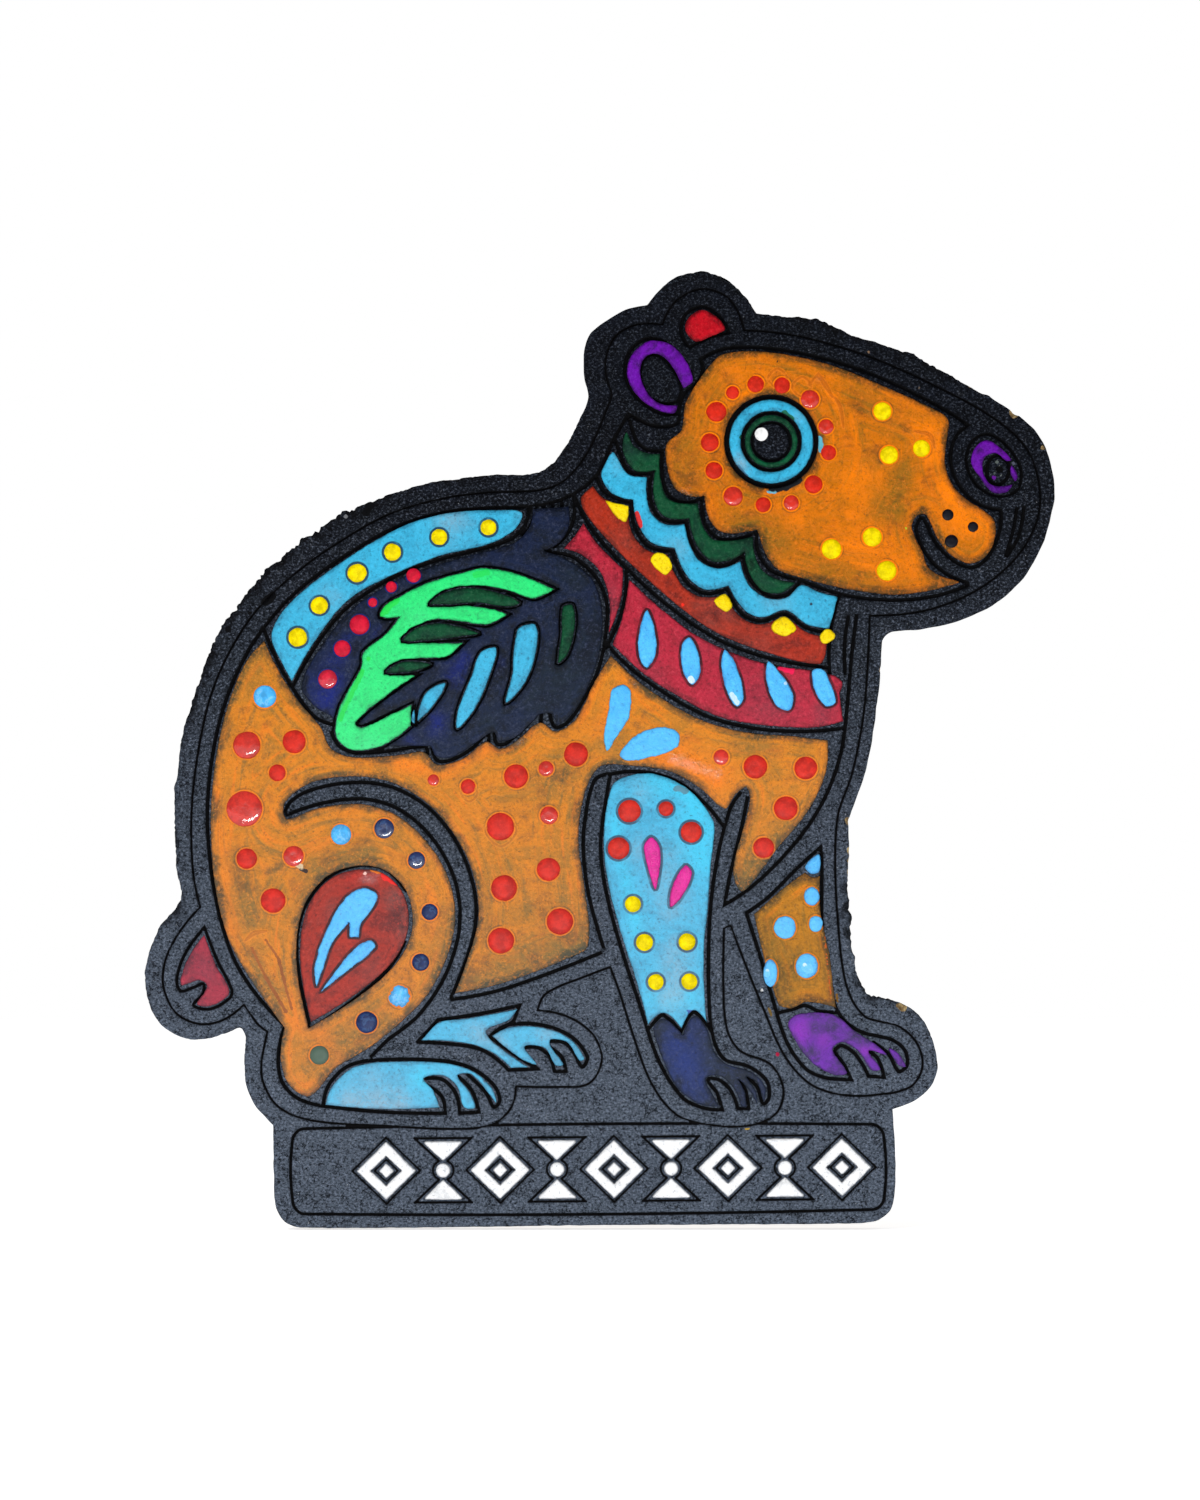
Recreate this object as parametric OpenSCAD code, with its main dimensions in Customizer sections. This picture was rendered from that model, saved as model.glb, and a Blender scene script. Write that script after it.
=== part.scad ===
// Painted, laser-engraved fibre-board magnet: a spotted cat sitting on a plinth.
// The picture faces -Y and stands upright along +Z. The origin is the centre of
// the face of the disc magnet that meets the steel door, so every part lies at -Y.

/* [Board] */
// Thickness of the fibre board
board_t = 3; // [2:0.1:4]
// Depth of the engraved lines
engrave_depth = 0.35; // [0.1:0.05:0.8]
// Width of the engraved lines of the drawing
line_w = 0.4; // [0.3:0.02:0.5]
// Width of the thin echo line that runs round the whole figure
echo_w = 0.28; // [0.2:0.02:0.4]

/* [Paint] */
// Thickness of a brushed field of paint
film_t = 0.15; // [0.1:0.05:0.3]
// Height of a paint dot, as a share of its radius
dot_rise = 0.32; // [0.2:0.02:0.6]
// Thickness of the raised white ornament on the plinth
relief_t = 0.35; // [0.2:0.05:0.6]

/* [Magnet] */
// Diameter of the disc magnet
magnet_d = 20; // [12:1:25]
// Thickness of the disc magnet
magnet_t = 3; // [2:0.5:5]
// Thickness of the glue between magnet and board
glue_t = 0.2; // [0.1:0.1:0.5]

/* [Curves] */
// Turn of a curved outline per straight chord, in degrees
chord_turn = 14; // [8:1:20]
// Longest chord in a curved outline
chord_max = 2; // [1:0.1:3]

/* [Hidden] */

// Depths are measured from the door towards the viewer.
board_back = magnet_t + glue_t;
board_face = board_back + board_t;
// Depth of the paint that lies on another field of paint
second_coat = board_face + film_t;
// Round corners of the white ornament
round_fn = 12;
dot_fn = 48;
// The plinth leans by this much, in degrees
plinth_lean = 0.45;
// Gap of bare board between neighbouring colours of the saddle
saddle_gap = 0.22;
// Slivers of board thinner than twice this burn away between two engraved lines
burn = 0.06;

orange = "#d9831c";
sky = "#3fb9e6";
azure = "#62b7f5";
navy = "#232c55";
leaf = "#23ee6e";
forest = "#17603a";
crimson = "#a8283c";
brick = "#b03a22";
red = "#dc3a30";
yellow = "#f6dd10";
purple = "#7e1fb0";
magenta = "#d41e8e";

// ---------- smooth curves through chosen points ----------
// A point is [x, z]; a third value marks a corner.
function at(p, i) = let (q = p[(i + len(p)) % len(p)]) [q[0], q[1]];
function unit(v) = v / norm(v);
function sharp(p, i, closed) =
    len(p[(i + len(p)) % len(p)]) > 2 || (!closed && (i == 0 || i == len(p) - 1));
function through(p, i) =
    let (a = at(p, i - 1), b = at(p, i), c = at(p, i + 1)) (c - a) / (norm(c - b) + norm(b - a));
function leave(p, i, closed) =
    let (c = unit(at(p, i + 1) - at(p, i)))
    !sharp(p, i, closed) ? through(p, i)
    : sharp(p, i + 1, closed) ? c : 1.5 * c - 0.5 * through(p, i + 1);
function arrive(p, i, closed) =
    let (c = unit(at(p, i) - at(p, i - 1)))
    !sharp(p, i, closed) ? through(p, i)
    : sharp(p, i - 1, closed) ? c : 1.5 * c - 0.5 * through(p, i - 1);
function hermite(a, b, u, v, t) =
    (2 * t ^ 3 - 3 * t ^ 2 + 1) * a + (t ^ 3 - 2 * t ^ 2 + t) * u
    + (3 * t ^ 2 - 2 * t ^ 3) * b + (t ^ 3 - t ^ 2) * v;
function turn(u, v) = acos(max(-1, min(1, unit(u) * unit(v))));
function chords(span, bend) =
    max(1, min(ceil(max(bend / chord_turn, span / chord_max)), ceil(span / 0.2)));
function smooth(p, closed = true) = [
    for (i = [0 : len(p) - (closed ? 1 : 2)])
        let (a = at(p, i), b = at(p, i + 1), span = norm(b - a),
             u = leave(p, i, closed), v = arrive(p, i + 1, closed),
             n = chords(span, turn(u, b - a) + turn(b - a, v)))
        for (k = [0 : n - 1]) hermite(a, b, span * u, span * v, k / n),
    if (!closed) at(p, len(p) - 1)
];
// A closed loop that runs along a path and back again, a hair's breadth beside it
hair = 0.01;
function beside(path, i, side) =
    let (a = path[max(i - 1, 0)], b = path[min(i + 1, len(path) - 1)], d = unit(b - a))
    path[i] + side * hair * [-d[1], d[0]];
function hairline(path) = concat(
    [for (i = [0 : len(path) - 1]) beside(path, i, 1)],
    [for (i = [len(path) - 1 : -1 : 0]) beside(path, i, -1)]);

module area(points) {
    polygon(smooth(points));
}
module line(points, w = line_w) {
    offset(delta = w / 2 - hair) polygon(hairline(smooth(points, false)));
}
module loop(points, w = line_w) {
    difference() {
        offset(delta = w / 2) area(points);
        offset(delta = -w / 2) area(points);
    }
}
// An engraved line that hugs a field of paint
module hug(points, near = 0.08, w = line_w) {
    difference() {
        offset(delta = near + w) area(points);
        offset(delta = near) area(points);
    }
}
module ring(centre, r, w) {
    translate(centre) difference() {
        circle(r = r + w / 2, $fn = dot_fn);
        circle(r = r - w / 2, $fn = dot_fn);
    }
}
// Lay a flat shape upright at a depth in front of the door
module upright(depth) {
    rotate([90, 0, 0]) translate([0, 0, depth]) children();
}
module film(points, depth = board_face) {
    upright(depth) linear_extrude(film_t) area(points);
}
module films(list, depth = board_face) {
    for (points = list) film(points, depth);
}
// A drop of paint: a low cap of a sphere, r across its foot
module dot(x, z, r, depth) {
    rise = r * dot_rise;
    ball = (r * r + rise * rise) / (2 * rise);
    upright(depth) translate([x, z, 0]) intersection() {
        translate([0, 0, rise - ball]) sphere(r = ball, $fn = dot_fn);
        translate([-ball, -ball, 0]) cube([2 * ball, 2 * ball, rise + 1]);
    }
}
// Dots are listed as [x, z, radius].
module dots(list, depth = second_coat) {
    for (d = list) dot(d[0], d[1], d[2], depth);
}

// ---------- cut edge ----------
SILHOUETTE = [[-1.05, 29.3, 1], [-1.35, 31], [-1.45, 32.6], [-1.2, 34], [-0.7, 34.95],
    [0.9, 36.1], [2.3, 36.85], [3.9, 37.15, 1], [4.9, 38.4], [6.3, 39.5], [8.4, 39.98],
    [10.1, 39.6], [11.6, 38.5], [13.1, 36.5, 1], [15, 36.25], [18.2, 36], [20.5, 35],
    [23.1, 34], [26, 33.1], [28.5, 31.75], [31.4, 30.05], [34.2, 28.45], [36.3, 26.7],
    [37.4, 24.7], [37.95, 22], [37.7, 19.7], [36.9, 17], [35.1, 14], [32.5, 11.85],
    [29.2, 10.5], [26.3, 9.95], [24.3, 9.78], [23.6, 9.1], [23.5, 7], [23.1, 3.4],
    [22.6, 0], [21.9, -2.8], [20.85, -5.8], [20.85, -8.6], [20.75, -11.5], [21.05, -14.3],
    [21.2, -17.2], [21.6, -18.9], [22.3, -20.25, 1], [25.1, -20.98], [26.9, -22.3],
    [27.8, -24.2], [28.2, -26.4], [27.7, -28], [26.2, -29.3], [24.45, -30, 1],
    [24.65, -33], [24.65, -36.7], [24.3, -38.3], [23.1, -39.3], [21, -39.53], [0, -39.69],
    [-24.8, -39.9], [-26.3, -39.4], [-27.1, -38.1], [-27.25, -36], [-27.3, -31.3, 1],
    [-28.6, -29.95], [-29.5, -28.2], [-29.75, -26], [-29.65, -24], [-30.05, -23.25],
    [-31.4, -23.8], [-33.6, -24.25], [-35.8, -23.6], [-37.4, -21.9], [-38.05, -19],
    [-37.6, -16.7], [-36.8, -14.7], [-35.6, -13.2], [-35.05, -12], [-35.4, -9.8],
    [-35.6, -5.7], [-35.3, -2], [-34.9, 1.4], [-33.7, 5.5], [-32.2, 9.3], [-30.2, 12.4],
    [-27.7, 15.3], [-25, 17.5], [-22, 19.6], [-18.5, 21.1], [-14, 22.4], [-9.5, 23],
    [-5.3, 23.2], [-3.5, 24.6], [-2.1, 26.9], [-1.4, 28.5]];

// ---------- engraved lines ----------
ECHO = [[22.5, 11.2, 1], [22.4, 8.5], [22.1, 4], [21.6, 0.6], [20.9, -2.4], [19.95, -5],
    [19.65, -7.5], [19.65, -11], [19.9, -15], [20.3, -18.5], [21, -20.8], [22.3, -22.35],
    [24.8, -23], [26.4, -24.4], [26.9, -26.4], [25.9, -28.1], [23.5, -28.7], [20.5, -28.8],
    [17.6, -27.9], [15.4, -25.5], [13.6, -21.5], [12.1, -17.8], [10.9, -14.65, 1],
    [10.35, -14.85, 1], [10.3, -20], [10.6, -23.3], [11.7, -25.1], [14.2, -26.2],
    [15.3, -28.3], [14.7, -30.3], [12.6, -31.3], [9.5, -31.3], [6.5, -30.5], [4.4, -28],
    [2.9, -24.2], [1.7, -20.4], [0.85, -18.1, 1], [-1.8, -19.1], [-4.5, -20.3],
    [-5.2, -21.7, 1], [-2.8, -22.2], [-0.7, -23.6], [0.15, -25.8], [-0.9, -27.8],
    [-3.3, -28.1], [-7, -28.05, 1], [-7.4, -29.8], [-9, -31.25], [-12, -31.6],
    [-18, -31.35], [-24, -30.9], [-26.9, -29.7], [-28.2, -27.3], [-28.1, -25.2],
    [-27.75, -23.5, 1], [-28.6, -22.8], [-29.7, -21.25, 1], [-31.4, -22.5], [-33.4, -22.85],
    [-35.4, -21.9], [-36.45, -19.5], [-36.1, -17.1], [-34.8, -14.8], [-33.35, -13.1, 1],
    [-33.9, -10.5], [-34.1, -6.5], [-33.9, -3], [-33.4, 0.5], [-32.5, 4.4], [-31, 8],
    [-28.6, 11.7], [-25.2, 14.9], [-21.5, 17.5], [-17.5, 19.7], [-13, 21], [-9, 21.5],
    [-5.2, 21.65], [-3.1, 22.4], [-1.3, 24.4], [0, 27], [0.95, 29.6, 1], [0.45, 32.1],
    [1.2, 34.4], [3, 35.45], [5.2, 35.5, 1], [6.3, 37.4], [8.5, 38.45], [10.8, 37.6],
    [12.05, 35, 1], [15.5, 34.7], [19, 33.9], [23, 32.6], [28, 30.35], [32.8, 27.7],
    [35.6, 25.1], [36.7, 21.6], [36.3, 18.7], [34.5, 15.8], [31.2, 13.2], [27, 11.6]];
BODY_LINE = [[-23.1, -29.7], [-25.3, -29], [-26.6, -27.5], [-26.8, -25.2], [-26.3, -23, 1],
    [-28.5, -20.6], [-30.4, -17.7], [-31.6, -14.3], [-32.4, -10.2], [-32.75, -5.5],
    [-32.4, -1], [-31.5, 3.2], [-30, 7], [-28.2, 10], [-25.2, 13.3], [-21, 16.35],
    [-17, 18.6], [-13, 19.8], [-9, 20.2], [-5.2, 20.35], [-2.3, 21.3], [-0.2, 23],
    [1, 25.6], [2.35, 28]];
LEFT_EAR_LINES = [
    [[6.55, 28.05], [5, 28.1], [3.2, 29.3], [2.15, 31], [2.35, 33], [3.7, 34.25],
        [5.2, 34.1], [6.6, 32.9], [7.5, 31.5]],
    [[6.5, 29.1], [5.3, 28.85], [4, 29.5], [3.35, 31], [3.6, 32.5], [4.5, 33], [5.6, 32.4],
        [6.6, 30.9], [6.8, 29.9], [6.5, 29.1]],
    [[8.35, 32.6], [8.6, 31.8], [8.1, 30.6], [7.1, 29.8], [6.6, 28.5], [6.5, 27.3],
        [5.3, 26.95], [3.9, 27.2], [2.4, 28]],
    [[5.2, 24.95], [3.9, 25.05], [3, 25.9], [2.35, 28]]];
RIGHT_EAR_LINES = [
    [[7.35, 33.7], [6.75, 35], [7.2, 36.4], [8.6, 36.95], [10, 36.1], [10.75, 34.85, 1],
        [9.2, 34.45], [7.5, 33.6]]];
HEAD_LINES = [
    [[8.35, 32.6], [10.6, 33.5], [14.5, 33.45], [19, 32.55], [23, 31.2], [28, 28.8],
        [30.7, 27.1]],
    [[30.7, 27.1], [29.6, 26], [29.25, 24], [30, 22], [31.6, 20.5], [33.4, 20]],
    [[33.45, 20], [33.35, 18.4], [32.5, 16.3], [31.2, 15.25], [29.6, 15.7], [28, 17.3],
        [26.9, 19.35], [26.35, 18.4], [27.3, 16.2], [28.8, 14.75], [30.6, 13.95]],
    [[34.75, 20.1], [34.5, 18.5], [33.85, 16.2]],
    [[33.95, 16.2], [34.9, 17.8], [35.35, 20.2]],
    [[30.7, 13.75], [28, 12.85], [24.5, 12.5], [20.5, 12.9], [16.5, 14.2], [14.3, 14.95],
        [13.2, 16.5], [13.05, 18.15, 1], [11.4, 17.6], [9.8, 17.7], [8.7, 19],
        [8.5, 21.05, 1], [7.2, 20.6], [5.8, 21.2], [5.2, 22.8], [5.2, 24.95]],
    [[33.2, 24.6], [34.1, 23.8], [33.9, 22.6], [33, 22.1], [32.3, 22.9], [32.5, 24.2],
        [33.2, 24.6]]];
NOSTRIL_LINE = [[32.3, 26.35], [33.9, 25.4], [35.1, 23.4], [34.8, 21.7], [33.2, 21.15],
    [31.4, 22.1], [30.55, 24], [31, 25.7]];
COLLAR_LINES = [
    [[1.2, 26], [1.7, 24.6], [2.5, 23.2], [4.3, 23.1, 1], [4.2, 21], [5.1, 19.3],
        [7.2, 19.05, 1], [7.8, 16.9], [9.2, 15.5], [10.7, 15.5], [11.9, 16.25, 1],
        [12.6, 14.1], [14.2, 12.85], [15.6, 13], [16.6, 13.95]],
    [[-0.3, 22.9], [0.4, 21.5], [2.6, 20.6, 1], [2.9, 18.6], [4, 17.05], [6, 16.6, 1],
        [7, 14.3], [8.6, 13.1], [10.6, 13.4, 1], [11.8, 11.4], [13.5, 10.75], [15.4, 11.35],
        [17.2, 10.2], [19.1, 9.8]],
    [[-2.1, 21.1], [-0.8, 18.6], [1.6, 15.8], [5, 12.6], [9.5, 9.4], [14, 7.7], [19.1, 6.85]],
    [[0.5, 8.9], [2.7, 6.7], [5.5, 4.7], [9, 2.8], [13, 1.8], [17, 1.55], [20.3, 1.8]],
    [[2.2, 15], [2.1, 12.8], [1.5, 10.6], [0.5, 8.5]],
    [[20, 13], [19.4, 10.9], [19.1, 8.5], [19.15, 6.2]],
    [[20.7, 11.1], [20.4, 8.8], [20.45, 6.4]],
    [[21.4, 11.2], [21, 8], [20.6, 3.5], [20.15, 0], [19.2, -3], [17.6, -6], [15, -9.2],
        [12.4, -11.6], [10.4, -12.9, 1], [10.9, -10.2], [11.8, -6.5], [12.3, -4]]];
SADDLE_LINES = [
    [[-28.1, 10.2], [-26.8, 7.2], [-25.2, 4.5], [-23.7, 2.7], [-22.2, 2.1]],
    [[-25.6, 5.4], [-23.9, 8.4], [-21.5, 11.5], [-18, 14], [-14, 15.7], [-10, 16.75],
        [-7.4, 17.6], [-6.2, 18.9], [-5.9, 20.2]],
    [[-5.4, 20.4], [-5.6, 19], [-6.4, 17.9]],
    [[-4.7, 20.4], [-4.9, 18.8], [-5.8, 17.4]],
    [[-4, 20.5], [-4.1, 18.8], [-5, 17.3]],
    [[-3.2, 20.6], [-3.3, 18.8], [-4.2, 17.2]],
    [[-2.2, 21.2], [-2.2, 19.2], [-3, 17.7], [-4.5, 16.5, 1], [-2.3, 16.1], [-0.4, 14.5],
        [0.5, 12.6], [0.6, 11], [0.3, 8.4]],
    [[0.3, 8.4], [-0.1, 6.8], [-1.3, 4.3], [-2.6, 2.4], [-3.7, 1.9], [-4.2, 3.1]],
    [[-4.95, 2.3], [-5, 3.3], [-6.4, 1.8], [-7.8, 0.55], [-8.6, 0.5], [-8.8, 1.4]],
    [[-9.3, 0.7], [-9.4, 1.4], [-10.6, 0.2], [-12.3, -0.8], [-13.6, -0.85], [-14, 0.3]],
    [[-14.4, -0.3], [-14.6, 0.3], [-17, 0], [-20.3, -0.25], [-21.7, 0.3], [-22.4, 1.5]],
    [[-20.5, 2.1], [-16, 5.7], [-11, 9], [-7, 11.3], [-3.3, 13.5]],
    [[-20.5, 2.1], [-18.2, 2.5], [-15, 4.8], [-11.6, 7]]];
HAUNCH_LINES = [
    [[-12.4, -20.6], [-11.2, -17.6], [-10.4, -14.6], [-10.5, -11.6], [-11.8, -8],
        [-14.1, -5], [-17.2, -3.15], [-20.5, -2.7], [-24, -3.3], [-25.7, -4.2],
        [-26.25, -5.1]],
    [[-26.1, -5.4], [-23, -4.4], [-19.5, -4.1], [-16.5, -5.1], [-13.8, -7.6],
        [-12, -11.2], [-11.75, -15], [-13, -19], [-15.3, -22.3], [-17.6, -24.1],
        [-19.1, -25.6]],
    [[-12.4, -20.8], [-9, -20.2], [-5, -18.9], [0.1, -16.9]],
    [[-16.2, -11.7], [-17.8, -10], [-20, -9.6], [-22.8, -10.7], [-24.8, -13.5],
        [-25.3, -17], [-24.15, -23.3, 1], [-20.9, -21.1], [-17.6, -18.2], [-16.3, -16]]];
TAIL_LINE = [[-33, -14.8, 1], [-34.5, -16.8], [-35.3, -19], [-35, -20.1], [-33.9, -19.8],
    [-33.1, -19.5], [-33.1, -20.3], [-33.9, -21.3], [-32.5, -21.6], [-30.9, -20.7],
    [-30.7, -20], [-31.8, -17.8]];
HIND_PAW_LINES = [
    [[-12.9, -30.3, 1], [-18, -30.2], [-23.1, -29.7, 1], [-22.6, -27.9], [-20.9, -26.3],
        [-18.4, -25.85], [-13.4, -25.9], [-10.8, -26.5], [-8.9, -27.9], [-8.35, -29.2],
        [-8.85, -29.8], [-9.5, -28.6], [-11, -27.1]],
    [[-12, -27.1], [-10.7, -28.4], [-10.1, -30.2, 1], [-11.7, -30.3, 1], [-12, -28.7],
        [-13.1, -27.5], [-14.5, -27.4]],
    [[-14.4, -28], [-13.2, -28.9], [-12.9, -30.3]],
    [[-15.2, -24.35, 1], [-13.5, -22.5, 1], [-10, -22], [-6.7, -21.3, 1], [-7.2, -22.6, 1],
        [-9.2, -23.9, 1], [-7, -25.5], [-5.2, -26.6, 1], [-7.6, -26.7, 1], [-9.3, -25.3],
        [-11, -24.7], [-15.2, -24.35, 1]],
    [[-9.2, -23.9], [-7.6, -22.9], [-4.8, -22.95], [-2.4, -23.9], [-1.05, -25.6],
        [-1.5, -26.45], [-2.2, -25.2], [-3, -24.4], [-4.2, -24.3]],
    [[-4.2, -24.8], [-3.2, -25.6], [-2.85, -26.8, 1], [-3.8, -26.8, 1], [-4.2, -25.6],
        [-5.1, -24.85], [-6.2, -24.8]],
    [[-6.4, -25.4], [-5.2, -26.6]]];
NEAR_LEG_LINES = [
    [[0.85, -2], [3.2, -1.8], [6.2, -2.5], [8.6, -4.3], [10.2, -6.2]],
    [[0.7, -1.95], [-0.5, -2.6], [-1.2, -5.5], [-1.4, -8], [-1, -11.8], [0.3, -16.5]],
    [[0.85, -2.1], [0.4, -4.8], [0.05, -8], [0.45, -11.5], [1.6, -16], [3.3, -21.2],
        [4.9, -25.9], [6.8, -28.9], [8.6, -29.85], [10.2, -30, 1], [9.8, -28.7],
        [9, -27.5], [9.9, -27.5], [10.9, -28.4], [11.5, -29.9, 1], [12.4, -29.9, 1],
        [12.1, -28.3], [11.5, -27.6]],
    [[12, -27.1], [13.1, -28.1], [13.6, -29.5], [14.1, -29], [13.9, -27.6], [12.4, -26.4],
        [10.4, -25.8], [9.5, -24.2], [9.15, -22], [9.05, -17], [9.3, -12.3], [10, -8],
        [10.9, -4.8], [11.7, -3.6]],
    [[4, -23.3], [4.7, -22.5], [5.3, -22.1], [6.75, -23.5, 1], [7.3, -22.4], [7.9, -21.85],
        [9.2, -23.3]]];
FAR_LEG_LINES = [
    [[19.6, -21.3], [18.8, -18.5], [18.5, -15], [18.5, -9.5], [18.4, -8.1, 1], [16.3, -10],
        [14, -12.3], [12.2, -13.6, 1], [13.3, -17], [14.5, -21.1], [15.6, -24.4],
        [17.3, -26.7], [19.2, -27.4], [20.95, -27.5, 1], [20.4, -26.3], [19.6, -25.1],
        [20.2, -24.65], [21.4, -25.5], [22.4, -27.2, 1], [23.7, -27.3, 1], [23.2, -25.8],
        [22.3, -25]],
    [[22.8, -24.4], [24.1, -25.4], [24.9, -26.8], [25.6, -26.3], [25.4, -25], [24.2, -24.1],
        [22, -23.6], [20.4, -22.6], [19.6, -21.3]],
    [[14.9, -21.9], [16.2, -21.6], [17.1, -21.3], [18.3, -21.8], [19.7, -21.9]]];

// ---------- plinth panel and its ornament ----------
PANEL = [[-25, -31.4], [22.5, -31.4], [23.4, -32.3], [23.4, -37.6], [22.5, -38.5],
    [-25, -38.5], [-25.9, -37.6], [-25.9, -32.3]];
frieze_x = 0.9;
frieze_z = -34.95;
frieze_count = 5;
frieze_pitch = 9.5;
frieze_h = 4.9;
bar_w = 0.95;
module diamond(w, h) {
    polygon([[w / 2, 0], [0, h / 2], [-w / 2, 0], [0, -h / 2]]);
}
module frieze_motif() {
    difference() {
        diamond(5, frieze_h);
        diamond(5 - 2.6 * bar_w, frieze_h - 2.6 * bar_w);
    }
    diamond(1.3, 1.3);
}
module frieze_spacer() {
    for (side = [-1, 1]) translate([0, side * frieze_h / 2])
        polygon([[-1.8, 0], [1.8, 0], [0, -side * 1.7]]);
    circle(r = 0.62, $fn = 16);
}
module frieze() {
    rotate(plinth_lean) translate([frieze_x, frieze_z]) {
        for (i = [0 : frieze_count - 1])
            translate([(i - (frieze_count - 1) / 2) * frieze_pitch, 0]) frieze_motif();
        for (i = [0 : frieze_count - 2])
            translate([(i - (frieze_count - 2) / 2) * frieze_pitch, 0]) frieze_spacer();
    }
}

// ---------- outlines of the paint fields ----------
EYE = [14.28, 25.72];
HEAD = [[9.2, 32.1], [10.2, 33], [13, 33.25], [16.5, 32.8], [20, 31.85], [24.2, 30.1],
    [27.5, 28.6], [29, 27.6], [28.95, 26], [28.75, 24], [29.5, 21.95], [31, 20.6],
    [32.7, 19.4], [33, 18.2], [32.4, 16.4], [30.9, 15.55], [29.1, 16.4], [27.9, 18.1],
    [27.2, 19.6], [26.4, 19.5], [26, 18.5], [26.9, 16.5], [27.4, 15.2], [28.6, 14.45],
    [30.1, 14, 1], [27.5, 13.3], [24.5, 12.95], [20.5, 13.45], [17, 14.3], [14.8, 15.1],
    [13.7, 16.6], [13.1, 18.35, 1], [11.3, 18.05], [9.9, 18.3], [9.05, 19.4],
    [8.7, 21.2, 1], [7.4, 21.15], [6.2, 21.9], [5.65, 23.4], [5.55, 25.5], [6.8, 26.7],
    [7.1, 28.8], [8, 30.5]];
FAR_EAR = [[7.1, 34.95], [7.4, 36.05], [8.5, 36.7], [9.7, 36.15], [10.45, 35.1], [9.4, 34.55],
    [8, 34.05]];
NEAR_EAR = [[3.9, 34.05], [2.6, 32.9], [2.25, 31.3], [2.9, 29.8], [4.3, 28.6], [6.1, 28.05],
    [6.5, 28.75, 1], [5, 28.9], [3.9, 29.9], [3.35, 31.5], [3.8, 32.8], [4.9, 33],
    [6, 32], [6.95, 30.15, 1], [7.75, 30.8], [7.2, 32.4], [6.1, 33.7], [5, 34.1]];
NOSTRIL = [
    [[32.2, 25.85], [33.4, 25.2], [34.3, 24.2], [33.9, 24.1], [33, 24.75], [32.1, 24.4],
        [31.95, 23.2], [32.7, 22.1], [34.4, 22.15, 1], [33.9, 21.5], [32.7, 21.5],
        [31.7, 22.7], [30.95, 23.9], [31.2, 25.1]],
    [[34.35, 23.75], [34.85, 22.8], [34.6, 22.4], [34.2, 23.2]]];
SCALLOPS_GREEN = [[2.2, 26.5], [2.8, 25.4], [3.8, 24.8], [5, 24.7, 1], [5.05, 22.6],
    [5.8, 20.9], [8.15, 20.55, 1], [8.6, 18.7], [9.6, 17.5], [12.75, 17.8, 1],
    [13.1, 15.7], [14.2, 14.5], [16.3, 13.95, 1], [15.1, 13.1], [13.5, 13.3],
    [12.4, 14.9], [12.05, 16.5, 1], [10.9, 15.85], [9.3, 15.75], [8, 17.2],
    [7.4, 19.3, 1], [5.4, 19.45], [4.5, 20.9], [4.55, 23.3, 1], [2.9, 23.3], [1.9, 24.9]];
SCALLOPS_BLUE = [[1.05, 24.85], [0.4, 23.8], [0.1, 22.8], [1, 21.4], [2.75, 20.85, 1],
    [3.1, 19], [4.2, 17.35], [6.2, 16.85, 1], [7.2, 14.6], [8.7, 13.4], [10.7, 13.7, 1],
    [12.1, 11.6], [13.5, 11.05], [15.5, 11.65], [17.2, 10.5], [19.1, 10.1, 1],
    [19.45, 11.3], [19.8, 12.75, 1], [18.2, 13.2], [16.8, 13.75], [15.6, 12.75],
    [14, 12.65], [12.4, 13.8], [11.7, 15.75, 1], [9.8, 15.15], [8, 16.1],
    [7.05, 18.85, 1], [5.3, 18.9], [4.1, 20.1], [3.9, 22.75, 1], [2.3, 23.05],
    [1.5, 24.3]];
COLLAR_BAND = [[-1.6, 20.9], [-0.6, 22, 1], [0.3, 21], [2.35, 20.35, 1], [2.6, 18.3],
    [3.8, 16.75], [5.6, 16.3, 1], [6.8, 13.8], [8.4, 12.8], [10.4, 12.9, 1], [11.6, 11.2],
    [13.3, 10.45], [15.4, 11], [17.2, 9.85], [18.85, 9.4, 1], [18.8, 7.9], [18.2, 7.15],
    [14, 8.1], [9.5, 9.9], [5, 13.3], [1.2, 16.9], [-0.9, 19.3]];
COLLAR_DOTS = [
    [[0.45, 20.8, 1], [2.35, 20.35, 1], [2.4, 19.6], [2.1, 19], [1.2, 19.6]],
    [[4.6, 16.45], [5.6, 16.2], [6, 15.2], [5.4, 14.6], [4.2, 15.75]],
    [[9.5, 12.4], [10.5, 13], [11.05, 12], [10.5, 11.5]],
    [[15.5, 11.1], [16.35, 10.1], [15.4, 9.45], [14.25, 10.1], [14.7, 10.9]],
    [[18.3, 9.5], [19, 10.1], [19.65, 9.6], [19.3, 9.05], [18.6, 8.85]]];
CRIMSON = [[2.45, 14.2, 1], [4.5, 12.3], [7.5, 9.9], [10.5, 8.35], [14, 7.15], [18.9, 6.4],
    [20.2, 5.7], [20, 4.6], [20.3, 2.4, 1], [18, 1.9], [14, 2.05], [10, 2.75], [6.5, 4.5],
    [3.6, 6.4], [1.05, 8.8, 1], [1.9, 11.2], [2.25, 13]];
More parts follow.
